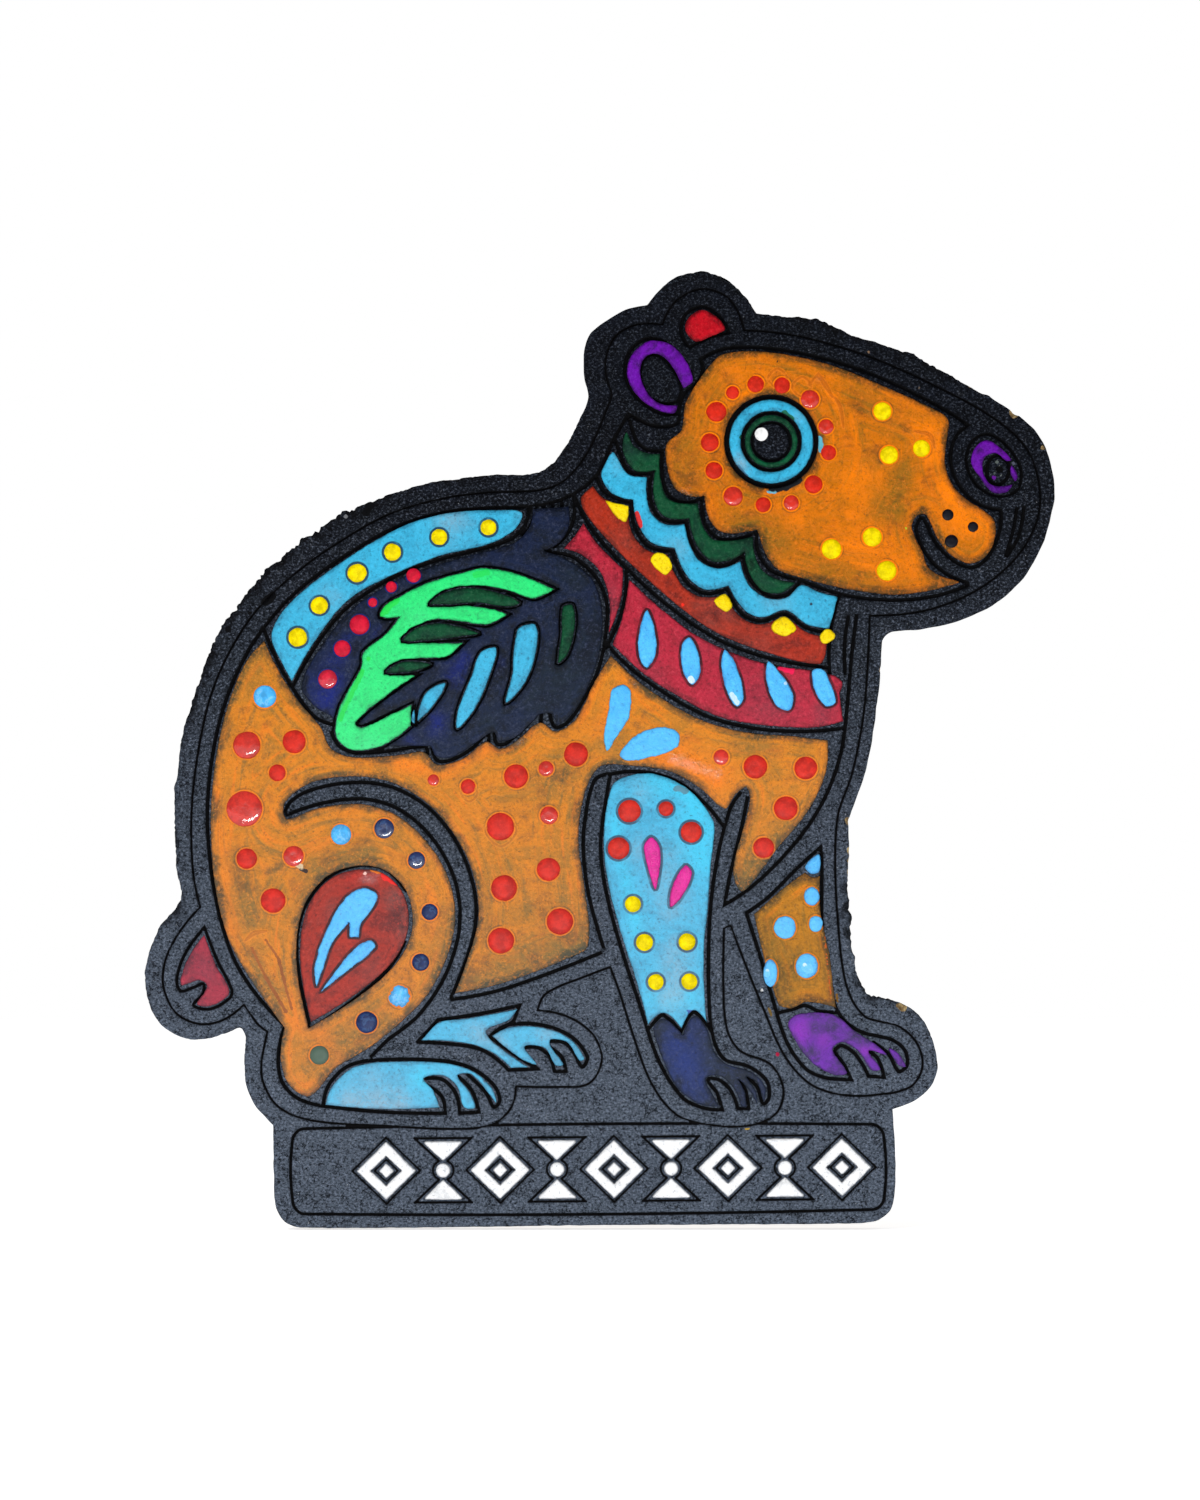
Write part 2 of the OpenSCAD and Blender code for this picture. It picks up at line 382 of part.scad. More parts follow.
COLLAR_DROPS = [
    [[3.9, 11.7], [3.3, 10], [3.2, 8], [3.9, 6.85], [4.7, 8.1], [4.5, 10.3]],
    [[7.4, 9.4], [6.8, 8.7], [6.9, 6.6], [7.7, 5.4], [8.4, 6.6], [8, 8.7]],
    [[10.4, 8.35], [10.1, 7], [10.6, 4.8], [11.4, 3.6], [12, 4.4], [11.3, 7.2]],
    [[14, 7.4], [13.85, 5.9], [14.6, 3.8], [15.8, 3.3], [16.1, 4.7], [14.9, 6.6]],
    [[17.75, 6.65], [17.8, 5.2], [18.8, 3.65], [19.65, 4], [19.1, 5.9], [18.6, 6.7]]];
NAPE_WEDGE = [[-1.4, 18.9, 1], [-0.3, 17.3], [1.9, 15.1, 1], [1.75, 12.6], [0.7, 9.6, 1],
    [0.8, 12.2], [0.1, 14.7], [-1.4, 16.2], [-3, 16.8, 1], [-2, 18]];
SADDLE_BAND = [[-27.4, 9.5], [-26.5, 11.5], [-24.5, 13.5], [-21.5, 15.7], [-18.5, 17.6],
    [-15.5, 19.05], [-12, 19.85], [-8.5, 20], [-6.5, 19.8], [-7.2, 18.3], [-9.5, 17.1],
    [-13, 16.3], [-17.5, 14.5], [-21, 12.5], [-23.7, 9.2], [-25.7, 5.75, 1], [-26.8, 7.8]];
SADDLE = [[-24.9, 5.3], [-23.2, 8.7], [-20.5, 11.9], [-16, 14.6], [-10.5, 16.35],
    [-7.2, 17.25], [-5.9, 18.6], [-5.6, 20.1, 1], [-2.6, 20.3, 1], [-2.6, 18.6],
    [-3.4, 17.3], [-4.6, 16.6, 1], [-2.4, 15.7], [-0.6, 14.2], [0.15, 12], [0.1, 9],
    [-0.4, 6.8], [-1.9, 3.6], [-3.5, 2.1], [-4, 3], [-5.1, 2.9], [-6.8, 1.2], [-8.4, 0.7],
    [-8.9, 1.5], [-10.2, 0.7], [-12.3, -0.6], [-13.7, -0.5], [-14.2, 0.3], [-17.4, 0.3],
    [-21.4, 0.6], [-22.3, 2.7], [-23.6, 3.5]];
LEAF = [[-22.1, 1.6], [-21.6, 3.8], [-19.9, 6.9], [-19.7, 8.2], [-17.9, 9.6],
    [-16.7, 11.1, 1], [-18.3, 11.15], [-18, 12], [-16.6, 12.85], [-14.5, 13.9],
    [-11.4, 14.8], [-9.7, 15.15], [-7, 14.7], [-3.8, 13.4, 1], [-5.6, 12.65], [-7.5, 13.3],
    [-10.5, 13.75], [-13, 13.3], [-14.4, 12, 1], [-12, 12.05], [-9, 11.75], [-7.75, 11.3, 1],
    [-9.5, 10.45], [-11.7, 10.75], [-14.4, 10.8], [-16.6, 8.95, 1], [-14, 8.9],
    [-11.4, 8.95, 1], [-13, 7.75], [-16, 7.6], [-18, 6.3, 1], [-15.4, 6.2, 1],
    [-18.1, 4.3], [-20.4, 2.3], [-19.9, 1.85], [-18, 2.7], [-15.75, 3.75, 1],
    [-15.75, 2, 1], [-18, 0.45], [-20.3, -0.05], [-21.6, 0.5]];
LEAF_VEINS = [
    [[-14.1, 12.15], [-13, 13.1], [-11, 13.5], [-8.5, 13.1], [-6.7, 12.3], [-7.6, 11.95],
        [-10.3, 12.3]],
    [[-16.4, 9.15], [-15.2, 10.2], [-13.2, 10.55], [-10.1, 9.75], [-11.5, 9.5], [-14, 9.2]],
    [[-17.8, 6.5], [-16.4, 7.35], [-14.1, 7.15], [-15.5, 6.6]],
    [[-3.5, 7.3], [-2.7, 8], [-2.1, 10.4], [-2.3, 12.1], [-3.1, 11.9], [-3.2, 9.7]]];
LEAF_STRIPS = [
    [[-6.9, 10], [-5.4, 10.45], [-5.3, 8.4], [-6.2, 5.7], [-7.85, 3.95], [-7.3, 6.4]],
    [[-10, 8.1], [-8.65, 8.5], [-9.2, 6.2], [-10.4, 3.5], [-11.9, 1.8], [-11.8, 3.5],
        [-10.7, 6.2]],
    [[-15.1, 3.4], [-14.4, 4.9], [-12.9, 5.6], [-13.4, 4.4], [-15.15, 2.4]],
    [[-15.5, 3.4], [-15.45, 2.2], [-15.75, 2.5]]];
BODY = [[-28, 9.1, 1], [-27, 7], [-25.4, 4.4], [-23.3, 1.9], [-22.4, 0.1], [-20.6, -0.6],
    [-16.5, -0.4], [-14.7, -0.15], [-13.6, -1.2], [-11.4, -0.7], [-9.5, 0.7], [-8.3, 0.1],
    [-6.8, 0.9], [-5, 2.3], [-3.7, 1.55], [-2, 2.6], [-0.7, 5.2], [0.9, 7.9, 1],
    [3.6, 5.4], [8, 2.7], [12, 1.5], [16, 1.15], [19, 0.8, 1], [18.8, -2], [17.2, -5.3],
    [14.8, -8.2], [12.9, -10.8], [11.8, -11.8], [11.1, -10.2], [11.7, -7.4], [12.5, -4.3],
    [12.2, -3.1], [11.3, -3.7], [10.4, -4.9], [8.5, -3.3], [5.9, -1.8], [2.5, -1.3],
    [0, -1.4], [-1.3, -3.7], [-1.8, -7.4], [-1.3, -11.5], [-1, -16.3], [-3, -17.5],
    [-8, -19.4], [-12.1, -20.3, 1], [-10.9, -17], [-10.15, -14], [-10.5, -10.6],
    [-11.8, -7.6], [-14, -4.8], [-17, -2.85], [-20.3, -2.2], [-24, -2.7], [-26.3, -4.4],
    [-26.1, -5.75], [-23.8, -4.95], [-20, -4.5], [-16.4, -5.8], [-13.3, -9.3], [-12.1, -13],
    [-12.5, -16.5], [-14.4, -20.4], [-17.3, -23.3], [-19.5, -25], [-22, -26.5],
    [-23.4, -28.2], [-24.4, -28.9], [-26, -27.8], [-26.65, -25.6], [-26.3, -23.2, 1],
    [-28.8, -19.6], [-30.8, -16.2], [-32, -12], [-32.45, -7], [-32.2, -2], [-31.3, 2.8],
    [-29.6, 7.2]];
HAUNCH_LEAF = [[-24.1, -22.7, 1], [-25, -17.6], [-24.5, -13.4], [-22.6, -10.8],
    [-20, -9.95], [-17.9, -10.4], [-16.3, -12.2], [-16, -15], [-17.4, -17.8],
    [-20.7, -20.6]];
HAUNCH_STROKES = [
    [[-19.8, -11.5], [-18.6, -12], [-18.8, -13], [-19.9, -14.5], [-20.1, -15.6, 1],
        [-20.9, -15.6, 1], [-20.9, -14.4, 1], [-22.4, -16.3], [-23.6, -19.7],
        [-23.8, -18], [-22.8, -15], [-21.3, -12.4]],
    [[-19.1, -15.85], [-18.7, -16.5], [-20.5, -18], [-23.3, -20.2, 1], [-21.6, -17.8],
        [-20.2, -16.3]]];
TAIL = [[-33, -15.4, 1], [-34.4, -17.5], [-34.95, -19.6], [-33.4, -19.2], [-32.75, -19.7],
    [-33.6, -21.2], [-32.3, -21.3], [-30.9, -20.2], [-32, -18]];
HIND_PAW_NEAR = [[-22.9, -29.6, 1], [-22.3, -28], [-20.4, -26.4], [-17.5, -26],
    [-13, -26.1], [-10.6, -26.8], [-9, -28.2], [-8.65, -29.4], [-9.4, -28.5],
    [-10.7, -27.05], [-11.9, -27.15], [-10.9, -28.5], [-10.4, -29.8], [-11.35, -29.8],
    [-11.9, -28.1], [-13.1, -27.15], [-14.7, -27.4], [-13.9, -28.4], [-13.35, -29.8, 1],
    [-18, -29.95]];
HIND_LEG_FAR = [[-14.9, -24.2, 1], [-13.4, -22.7, 1], [-10, -22.2], [-6.9, -21.6, 1],
    [-7.6, -22.5], [-9.5, -23.4], [-8.6, -24.6], [-6, -26.45, 1], [-7.4, -26.5, 1],
    [-9.2, -25.1], [-11.4, -24.4]];
HIND_PAW_FAR = [[-9, -23.85, 1], [-7.4, -23.1], [-4.6, -23.2], [-2.5, -24.1],
    [-1.3, -25.7], [-1.7, -25.9], [-2.7, -24.4], [-4.1, -24.15], [-4.1, -24.75],
    [-3.05, -26.2], [-3.7, -26.3], [-4.6, -24.85], [-6.3, -24.75], [-5.3, -26.2],
    [-6.6, -25.75]];
SHOULDER_STROKES = [
    [[1.1, 5.2], [2.3, 5.3], [2.65, 4.2], [2.2, 2.3], [1.2, 0.8], [0.6, -0.1], [0.3, 1],
        [0.7, 3.4]],
    [[1.6, -0.3], [2.2, -0.9], [4.2, -0.6], [6.4, 0.2], [6.5, 1.5], [5, 1.95],
        [3.2, 1.3]]];
NEAR_LEG = [[1, -3], [2.4, -2.15], [4.6, -2], [7.4, -3.3], [9.4, -5.8], [9.5, -7.4],
    [9.25, -9.5], [9, -13.2], [8.7, -16], [8.7, -20], [8.9, -22.7, 1], [7.8, -21.7],
    [6.8, -23.2, 1], [5.3, -21.9], [4, -22.9, 1], [3.2, -19.8], [1.8, -15.4],
    [0.7, -11.2], [0.3, -7.5]];
NEAR_LEG_DROPS = [
    [[4.3, -7.25], [5, -8.2], [4.95, -10.3], [4.6, -11.65], [3.95, -9.7], [3.65, -8]],
    [[7.1, -9.6], [7.7, -10.3], [6.8, -12.3], [5.85, -13.1], [6, -11.4]]];
NEAR_PAW = [[4.4, -23.2, 1], [5.3, -22.4], [6.9, -23.75, 1], [7.9, -22.15], [9, -23.4],
    [9.5, -25.1], [10.6, -26.2], [12.6, -26.8], [13.8, -28.1], [13.65, -29.3],
    [13.1, -27.8], [12.2, -27.25], [13, -28.4], [13.1, -29.6], [12.6, -28.6],
    [11.6, -27.5], [12.1, -28.6], [12.25, -29.8, 1], [11.75, -29.8, 1], [11.2, -28.3],
    [9.9, -27.15], [8.8, -27.4], [9.5, -28.9], [9.9, -29.75, 1], [8.2, -29.5],
    [6.4, -28.1], [5.1, -25.5]];
FAR_LEG = [[12.85, -13.7, 1], [15.2, -11.6], [17.1, -10.2, 1], [17.7, -10.6],
    [18.35, -10.5, 1], [18.4, -13.6], [19.1, -16.8], [19.4, -19.4], [19.7, -21.5, 1],
    [17.2, -21], [16, -21.55], [14.9, -21.3, 1], [13.9, -18.2]];
FAR_LEG_TIP = [[17.1, -9.7], [18.25, -8.7], [18.3, -10.1], [17.6, -10.35]];
// An oval dot of thin paint
function oval(x, z, rx, rz) = [for (a = [0 : 45 : 315]) [x + rx * cos(a), z + rz * sin(a)]];
FAR_LEG_OVALS = [oval(17.67, -12.2, 0.66, 0.8), oval(14.2, -18.6, 0.6, 1.15),
    oval(15.42, -14.8, 0.93, 0.97), oval(18, -14.5, 0.58, 0.7), oval(17.24, -18, 0.95, 1.05)];
FAR_PAW = [
    [[15.7, -22.7], [16.8, -21.95], [19.6, -22.1], [21.2, -23.4], [22.8, -24.4],
        [23.9, -25.4], [22.4, -25.1], [23.4, -26.6], [22.6, -26.7], [21.6, -25.2],
        [20.2, -24.35], [19.4, -25], [20.6, -26.9], [19.5, -27.1], [17.6, -26],
        [16.2, -24.1]],
    [[24.1, -24.9], [24.9, -25.3], [25.5, -26.4], [24.9, -26.3]]];

EYE_DOTS = [[12.98, 30.5, 0.69], [15.18, 30.4, 0.67], [11.05, 29.8, 0.54],
    [9.7, 28.2, 0.83], [9.15, 25.65, 0.75], [9.5, 23.3, 0.71], [11.1, 21.15, 0.81],
    [13.6, 20.45, 0.63], [15.95, 20.6, 0.63], [17.8, 22.15, 0.75], [19.05, 24.8, 0.63],
    [18.85, 26.95, 0.63], [17.5, 29.25, 0.78]];
FACE_DOTS = [[23.55, 28.25, 0.75], [26.8, 25.15, 0.71], [24.1, 24.6, 0.75],
    [22.7, 17.75, 0.79], [19.3, 16.75, 0.83], [23.9, 14.95, 0.83]];
MUZZLE_DOTS = [[29, 19.6, 0.48], [31.1, 18.6, 0.44], [29.3, 17.4, 0.56]];
SADDLE_YELLOW = [[-25.2, 9.4, 0.79], [-23.4, 12.05, 0.72], [-20.25, 14.75, 0.79],
    [-17.3, 16.5, 0.72], [-13.4, 17.75, 0.67], [-9.3, 18.55, 0.67]];
SADDLE_RED = [[-15.55, 14.55, 0.6], [-17.4, 13.6, 0.46], [-18.95, 12.3, 0.38],
    [-20.05, 10.45, 0.82], [-21.5, 8.45, 0.69], [-22.7, 5.9, 0.79]];
BODY_RED = [[-29.45, 0.4, 1.15], [-25.5, 0.7, 0.97], [-26.9, -1.9, 0.7],
    [-29.65, -4.9, 1.48], [-29.45, -9.05, 0.85], [-25.55, -8.85, 0.85],
    [-27.25, -12.55, 1.03], [-13.9, -2.5, 0.47], [-11, -3.05, 0.62], [-7, -2.2, 1],
    [-4.5, -1.55, 0.63], [-2, -0.35, 1], [-8.3, -6.4, 1.15], [-4.25, -5.45, 0.75],
    [-8, -11.5, 1.08], [-4.3, -9.95, 0.97], [-3.35, -14.3, 1.1], [-8.25, -15.9, 1.08],
    [10.1, -0.6, 0.64], [12.95, -1.4, 0.98], [17.15, -1.5, 0.95], [15.5, -4.85, 1],
    [13.65, -8.15, 0.88]];
BODY_BLUE = [[-27.95, 4.45, 0.95], [-21.6, -7.05, 0.85], [-16.7, -20.55, 0.88]];
HAUNCH_NAVY = [[-18, -6.55, 0.83], [-15.3, -9.2, 0.72], [-14.2, -13.5, 0.68],
    [-14.95, -17.7, 0.72], [-19.45, -22.7, 0.9], [-23.4, -25.45, 0.8]];
NEAR_LEG_RED = [[2.45, -5.1, 0.95], [5.5, -4.9, 0.62], [7.6, -6.85, 0.88],
    [1.55, -8.2, 0.92]];
NEAR_LEG_YELLOW = [[2.75, -12.85, 0.68], [3.7, -16.05, 0.72], [7.25, -16, 0.72],
    [4.65, -19.35, 0.67], [7.45, -19.3, 0.68]];

// ---------- board ----------
module engraving() {
    loop(ECHO, echo_w);
    line(BODY_LINE);
    for (set = [LEFT_EAR_LINES, RIGHT_EAR_LINES, HEAD_LINES, COLLAR_LINES, SADDLE_LINES,
                HAUNCH_LINES, HIND_PAW_LINES, NEAR_LEG_LINES, FAR_LEG_LINES])
        for (points = set) line(points);
    loop(NOSTRIL_LINE, 0.35);
    loop(TAIL_LINE, 0.35);
    ring(EYE, 3.73, 0.42);
    ring(EYE, 2.38, 0.32);
    ring(EYE, 1.58, 0.32);
    for (points = LEAF_VEINS) hug(points, 0.05, 0.3);
    for (points = LEAF_STRIPS) hug(points, 0.05, 0.28);
    difference() {
        hug(LEAF, 0.04, 0.3);
        for (points = LEAF_VEINS) offset(delta = 0.05) area(points);
    }
    difference() {
        rotate(plinth_lean) loop(PANEL, 0.34);
        area(ECHO);
    }
    difference() {
        offset(delta = 0.36) frieze();
        offset(delta = 0.08) frieze();
    }
}
module board() {
    color("#2b2f3a") difference() {
        upright(board_back) linear_extrude(board_t) area(SILHOUETTE);
        upright(board_face - engrave_depth) linear_extrude(2 * engrave_depth)
            offset(delta = -burn) offset(delta = burn) engraving();
    }
}
module magnet_disc() {
    color("#3a3a3c") upright(0) cylinder(d = magnet_d, h = magnet_t, $fn = 96);
}
module magnet_glue() {
    color("#d8cfae") upright(magnet_t) cylinder(d = magnet_d - 1, h = glue_t, $fn = 96);
}

// ---------- head ----------
module far_ear_red() { color(crimson) film(FAR_EAR); }
module near_ear_purple() { color(purple) film(NEAR_EAR); }
module head_orange() {
    color(orange) upright(board_face) linear_extrude(film_t) difference() {
        area(HEAD);
        translate(EYE) circle(r = 3.92, $fn = dot_fn);
    }
}
module eye_ring(r_in, r_out) {
    upright(board_face) linear_extrude(film_t) translate(EYE) difference() {
        circle(r = r_out, $fn = dot_fn);
        circle(r = r_in, $fn = dot_fn);
    }
}
module eye_ring_blue() { color(sky) eye_ring(2.55, 3.5); }
module eye_ring_green() { color(forest) eye_ring(1.74, 2.21); }
module eye_glint_white() { color("white") dots([[13.45, 26.33, 0.56]], board_face); }
module eye_dots_red() { color(red) dots(EYE_DOTS); }
module face_dots_yellow() { color(yellow) dots(FACE_DOTS); }
module muzzle_dots_black() {
    color("#1b1e2a") films([for (d = MUZZLE_DOTS) oval(d[0], d[1], d[2], d[2])], second_coat);
}
module nostril_purple() { color(purple) films(NOSTRIL); }

// ---------- collar ----------
module scallops_green() { color(forest) film(SCALLOPS_GREEN); }
module scallops_blue() { color(sky) film(SCALLOPS_BLUE); }
module collar_band_red() { color(brick) film(COLLAR_BAND); }
module collar_dots_yellow() { color(yellow) films(COLLAR_DOTS, second_coat); }
module collar_crimson() { color(crimson) film(CRIMSON); }
module collar_drops_blue() { color(azure) films(COLLAR_DROPS, second_coat); }
module nape_wedge_crimson() { color(crimson) film(NAPE_WEDGE); }

// ---------- saddle ----------
module saddle_band_blue() { color(sky) film(SADDLE_BAND); }
module saddle_dots_yellow() { color(yellow) dots(SADDLE_YELLOW); }
module saddle_navy() {
    color(navy) upright(board_face) linear_extrude(film_t) offset(delta = 0) difference() {
        area(SADDLE);
        offset(delta = saddle_gap) {
            area(LEAF);
            for (points = LEAF_VEINS) area(points);
            for (points = LEAF_STRIPS) area(points);
        }
    }
}
module saddle_dots_red() { color(red) dots(SADDLE_RED); }
module leaf_green() {
    color(leaf) upright(board_face) linear_extrude(film_t) offset(delta = 0) difference() {
        area(LEAF);
        offset(delta = saddle_gap) for (points = LEAF_VEINS) area(points);
    }
}
module leaf_veins_green() { color(forest) films(LEAF_VEINS); }
module leaf_strips_blue() { color(sky) films(LEAF_STRIPS); }

// ---------- body ----------
module body_orange() {
    color(orange) upright(board_face) linear_extrude(film_t) offset(delta = 0) difference() {
        area(BODY);
        offset(delta = 0.3) area(HAUNCH_LEAF);
    }
}
module body_dots_red() { color(red) dots(BODY_RED); }
module body_dots_blue() { color(azure) dots(BODY_BLUE); }
module haunch_dots_navy() { color(navy) dots(HAUNCH_NAVY); }
module shoulder_strokes_blue() { color(azure) films(SHOULDER_STROKES, second_coat); }
module haunch_leaf_red() { color(brick) film(HAUNCH_LEAF); }
module haunch_leaf_strokes_blue() { color(azure) films(HAUNCH_STROKES, second_coat); }
module tail_crimson() { color(crimson) film(TAIL); }
module hind_paw_near_blue() { color(sky) film(HIND_PAW_NEAR); }
module hind_paw_far_blue() { color(sky) films([HIND_LEG_FAR, HIND_PAW_FAR]); }

// ---------- forelegs ----------
module foreleg_near_blue() { color(sky) film(NEAR_LEG); }
module foreleg_near_dots_red() { color(red) dots(NEAR_LEG_RED); }
module foreleg_near_drops_magenta() { color(magenta) films(NEAR_LEG_DROPS, second_coat); }
module foreleg_near_dots_yellow() { color(yellow) dots(NEAR_LEG_YELLOW); }
module paw_near_navy() { color(navy) film(NEAR_PAW); }
module foreleg_far_orange() { color(orange) film(FAR_LEG); }
module foreleg_far_dots_blue() { color(azure) films(FAR_LEG_OVALS, second_coat); }
module foreleg_far_tip_blue() { color(azure) film(FAR_LEG_TIP); }
module paw_far_purple() { color(purple) films(FAR_PAW); }

// ---------- plinth ----------
module plinth_frieze_white() {
    color("white") upright(board_face) linear_extrude(relief_t)
        offset(r = 0.15, $fn = round_fn) offset(delta = -0.15) frieze();
}

board();
magnet_disc();
magnet_glue();
far_ear_red();
near_ear_purple();
head_orange();
eye_ring_blue();
eye_ring_green();
eye_glint_white();
eye_dots_red();
face_dots_yellow();
muzzle_dots_black();
nostril_purple();
scallops_green();
scallops_blue();
collar_band_red();
collar_dots_yellow();
collar_crimson();
collar_drops_blue();
nape_wedge_crimson();
saddle_band_blue();
saddle_dots_yellow();
saddle_navy();
saddle_dots_red();
leaf_green();
leaf_veins_green();
leaf_strips_blue();
body_orange();
body_dots_red();
body_dots_blue();
haunch_dots_navy();
shoulder_strokes_blue();
haunch_leaf_red();
haunch_leaf_strokes_blue();
tail_crimson();
hind_paw_near_blue();
hind_paw_far_blue();
foreleg_near_blue();
foreleg_near_dots_red();
foreleg_near_drops_magenta();
foreleg_near_dots_yellow();
paw_near_navy();
foreleg_far_orange();
foreleg_far_dots_blue();
foreleg_far_tip_blue();
paw_far_purple();
plinth_frieze_white();
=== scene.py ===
"""Looks of a hand-painted, laser-engraved fridge magnet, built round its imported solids."""

import math
import random

import bpy
import numpy as np
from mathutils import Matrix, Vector, kdtree, noise
from mathutils.geometry import delaunay_2d_cdt

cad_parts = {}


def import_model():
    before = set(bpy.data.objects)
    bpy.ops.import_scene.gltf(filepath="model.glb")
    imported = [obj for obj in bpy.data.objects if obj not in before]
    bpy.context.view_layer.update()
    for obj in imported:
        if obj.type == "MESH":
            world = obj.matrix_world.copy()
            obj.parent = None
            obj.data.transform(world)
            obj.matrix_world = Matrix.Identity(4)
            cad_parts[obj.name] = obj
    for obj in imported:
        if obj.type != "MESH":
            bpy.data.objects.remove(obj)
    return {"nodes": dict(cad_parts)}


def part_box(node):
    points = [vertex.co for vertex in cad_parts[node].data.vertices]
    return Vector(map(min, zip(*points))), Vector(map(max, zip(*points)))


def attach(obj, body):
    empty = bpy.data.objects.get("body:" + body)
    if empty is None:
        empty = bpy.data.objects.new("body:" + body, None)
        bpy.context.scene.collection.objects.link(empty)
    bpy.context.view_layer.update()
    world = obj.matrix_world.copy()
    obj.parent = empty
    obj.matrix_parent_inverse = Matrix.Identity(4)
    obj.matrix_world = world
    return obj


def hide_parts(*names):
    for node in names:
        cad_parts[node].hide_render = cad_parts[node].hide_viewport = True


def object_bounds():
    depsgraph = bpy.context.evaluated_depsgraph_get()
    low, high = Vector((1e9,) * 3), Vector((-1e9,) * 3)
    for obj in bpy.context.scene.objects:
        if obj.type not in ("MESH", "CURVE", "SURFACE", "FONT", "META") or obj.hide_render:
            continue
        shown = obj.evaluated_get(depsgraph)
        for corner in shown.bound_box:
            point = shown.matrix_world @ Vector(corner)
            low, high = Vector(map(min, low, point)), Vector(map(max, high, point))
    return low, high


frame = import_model()
cad_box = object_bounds()

# The shapes are worked out in millimetres, as x to the right, z up and depth in front of the door.
MM = 0.001
# Faces this near to a depth lie at it, and sides shorter than this are dropped
SAME_LEVEL = 0.002
SHORTEST_SIDE = 0.012
# Points set beside an outline keep this share of their distance clear of all outlines
ROOM = 0.82
# Gap between rows of loose points, and how far each is shaken, as shares of their spacing
ROW_GAP, SHAKE = 0.87, 0.22
# Spacing of points all over a film, along its edge, along marks on it, and round strays of paint and painted
# highlights
FILM_SPACING, FILM_STEP, MARK_STEP, FINE_SPACING = 0.36, 0.2, 0.16, 0.13
# How fast a film rises from its edge, and distances of the bands of points round a mark
FILM_ROUNDING = 0.06
MARK_BANDS = (0.0, 0.08, 0.16, 0.25, 0.36)


# ---------- reading outlines from the solids ----------
def corners_and_triangles(node):
    """A node's corners in mm, each once, and its triangles."""
    mesh = frame["nodes"][node].data
    mesh.calc_loop_triangles()
    places = np.empty(len(mesh.vertices) * 3)
    mesh.vertices.foreach_get("co", places)
    places = places.reshape(-1, 3) / MM
    triangles = np.empty(len(mesh.loop_triangles) * 3, int)
    mesh.loop_triangles.foreach_get("vertices", triangles)
    _, first, same = np.unique(
        np.round(places, 3), axis=0, return_index=True, return_inverse=True
    )
    return places[first], same.reshape(-1)[triangles].reshape(-1, 3)


def outlines(node, depth):
    """Closed outlines, in mm, of the flat faces that lie at this depth in front of the door."""
    places, triangles = corners_and_triangles(node)
    flat = triangles[np.all(np.abs(places[triangles][:, :, 1] + depth) < SAME_LEVEL, axis=1)]
    sides = {(t[i], t[i - 2]) for t in flat.tolist() for i in range(3)}
    onward = {}
    for a, b in sorted(sides):
        if (b, a) not in sides:
            onward.setdefault(a, []).append(b)
    loops = []
    while onward:
        start = next(iter(onward))
        at, loop = start, []
        while True:
            loop.append(places[at][[0, 2]])
            ahead = onward[at].pop()
            if not onward[at]:
                del onward[at]
            at = ahead
            if at == start:
                break
        loops.append(np.array(loop))
    return loops


def depths(node):
    """How far the node's back and front lie in front of the door, in mm."""
    low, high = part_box(node)
    return -high.y / MM, -low.y / MM


# ---------- flat shapes ----------
def rounded(loop, step, sharp=38):
    """The closed outline with its chords bent into a curve, in even steps. Corners sharper than this stay."""
    keep = np.linalg.norm(loop - np.roll(loop, 1, axis=0), axis=1) > SHORTEST_SIDE
    points = loop[keep]
    ahead = np.roll(points, -1, axis=0) - points
    behind = points - np.roll(points, 1, axis=0)
    length = np.linalg.norm(ahead, axis=1)
    before = np.linalg.norm(behind, axis=1)
    heading = ahead / length[:, None]
    came = behind / before[:, None]
    turn = np.degrees(np.arccos(np.clip((heading * came).sum(axis=1), -1, 1)))
    corner = turn > sharp
    along = (ahead + behind) / (length + before)[:, None]
    result = []
    for i in range(len(points)):
        j = (i + 1) % len(points)
        leave = heading[i] if corner[i] else along[i]
        arrive = heading[i] if corner[j] else along[j]
        pieces = max(1, round(length[i] / step))
        for k in range(pieces):
            t = k / pieces
            result.append(
                (2 * t**3 - 3 * t**2 + 1) * points[i]
                + (t**3 - 2 * t**2 + t) * length[i] * leave
                + (3 * t**2 - 2 * t**3) * points[j]
                + (t**3 - t**2) * length[i] * arrive
            )
    return np.array(result)


def inward(ring):
    """At each point of an outline, the direction into the shape."""
    along = np.roll(ring, -1, axis=0) - np.roll(ring, 1, axis=0)
    along /= np.maximum(np.linalg.norm(along, axis=1), 1e-9)[:, None]
    return np.stack([-along[:, 1], along[:, 0]], axis=1)


class Reach:
    """Distances from a set of outlines."""

    def __init__(self, rings, spacing=0.05):
        close = []
        for ring in rings:
            after = np.roll(ring, -1, axis=0)
            gaps = np.linalg.norm(after - ring, axis=1)
            for a, b, gap in zip(ring, after, gaps):
                parts = max(1, math.ceil(gap / spacing))
                close += [a + (b - a) * k / parts for k in range(parts)]
        self.tree = kdtree.KDTree(len(close))
        for i, p in enumerate(close):
            self.tree.insert((p[0], p[1], 0), i)
        self.tree.balance()

    def __call__(self, p):
        return self.tree.find((p[0], p[1], 0))[2]

    def all(self, places):
        return np.array([self(p) for p in places])


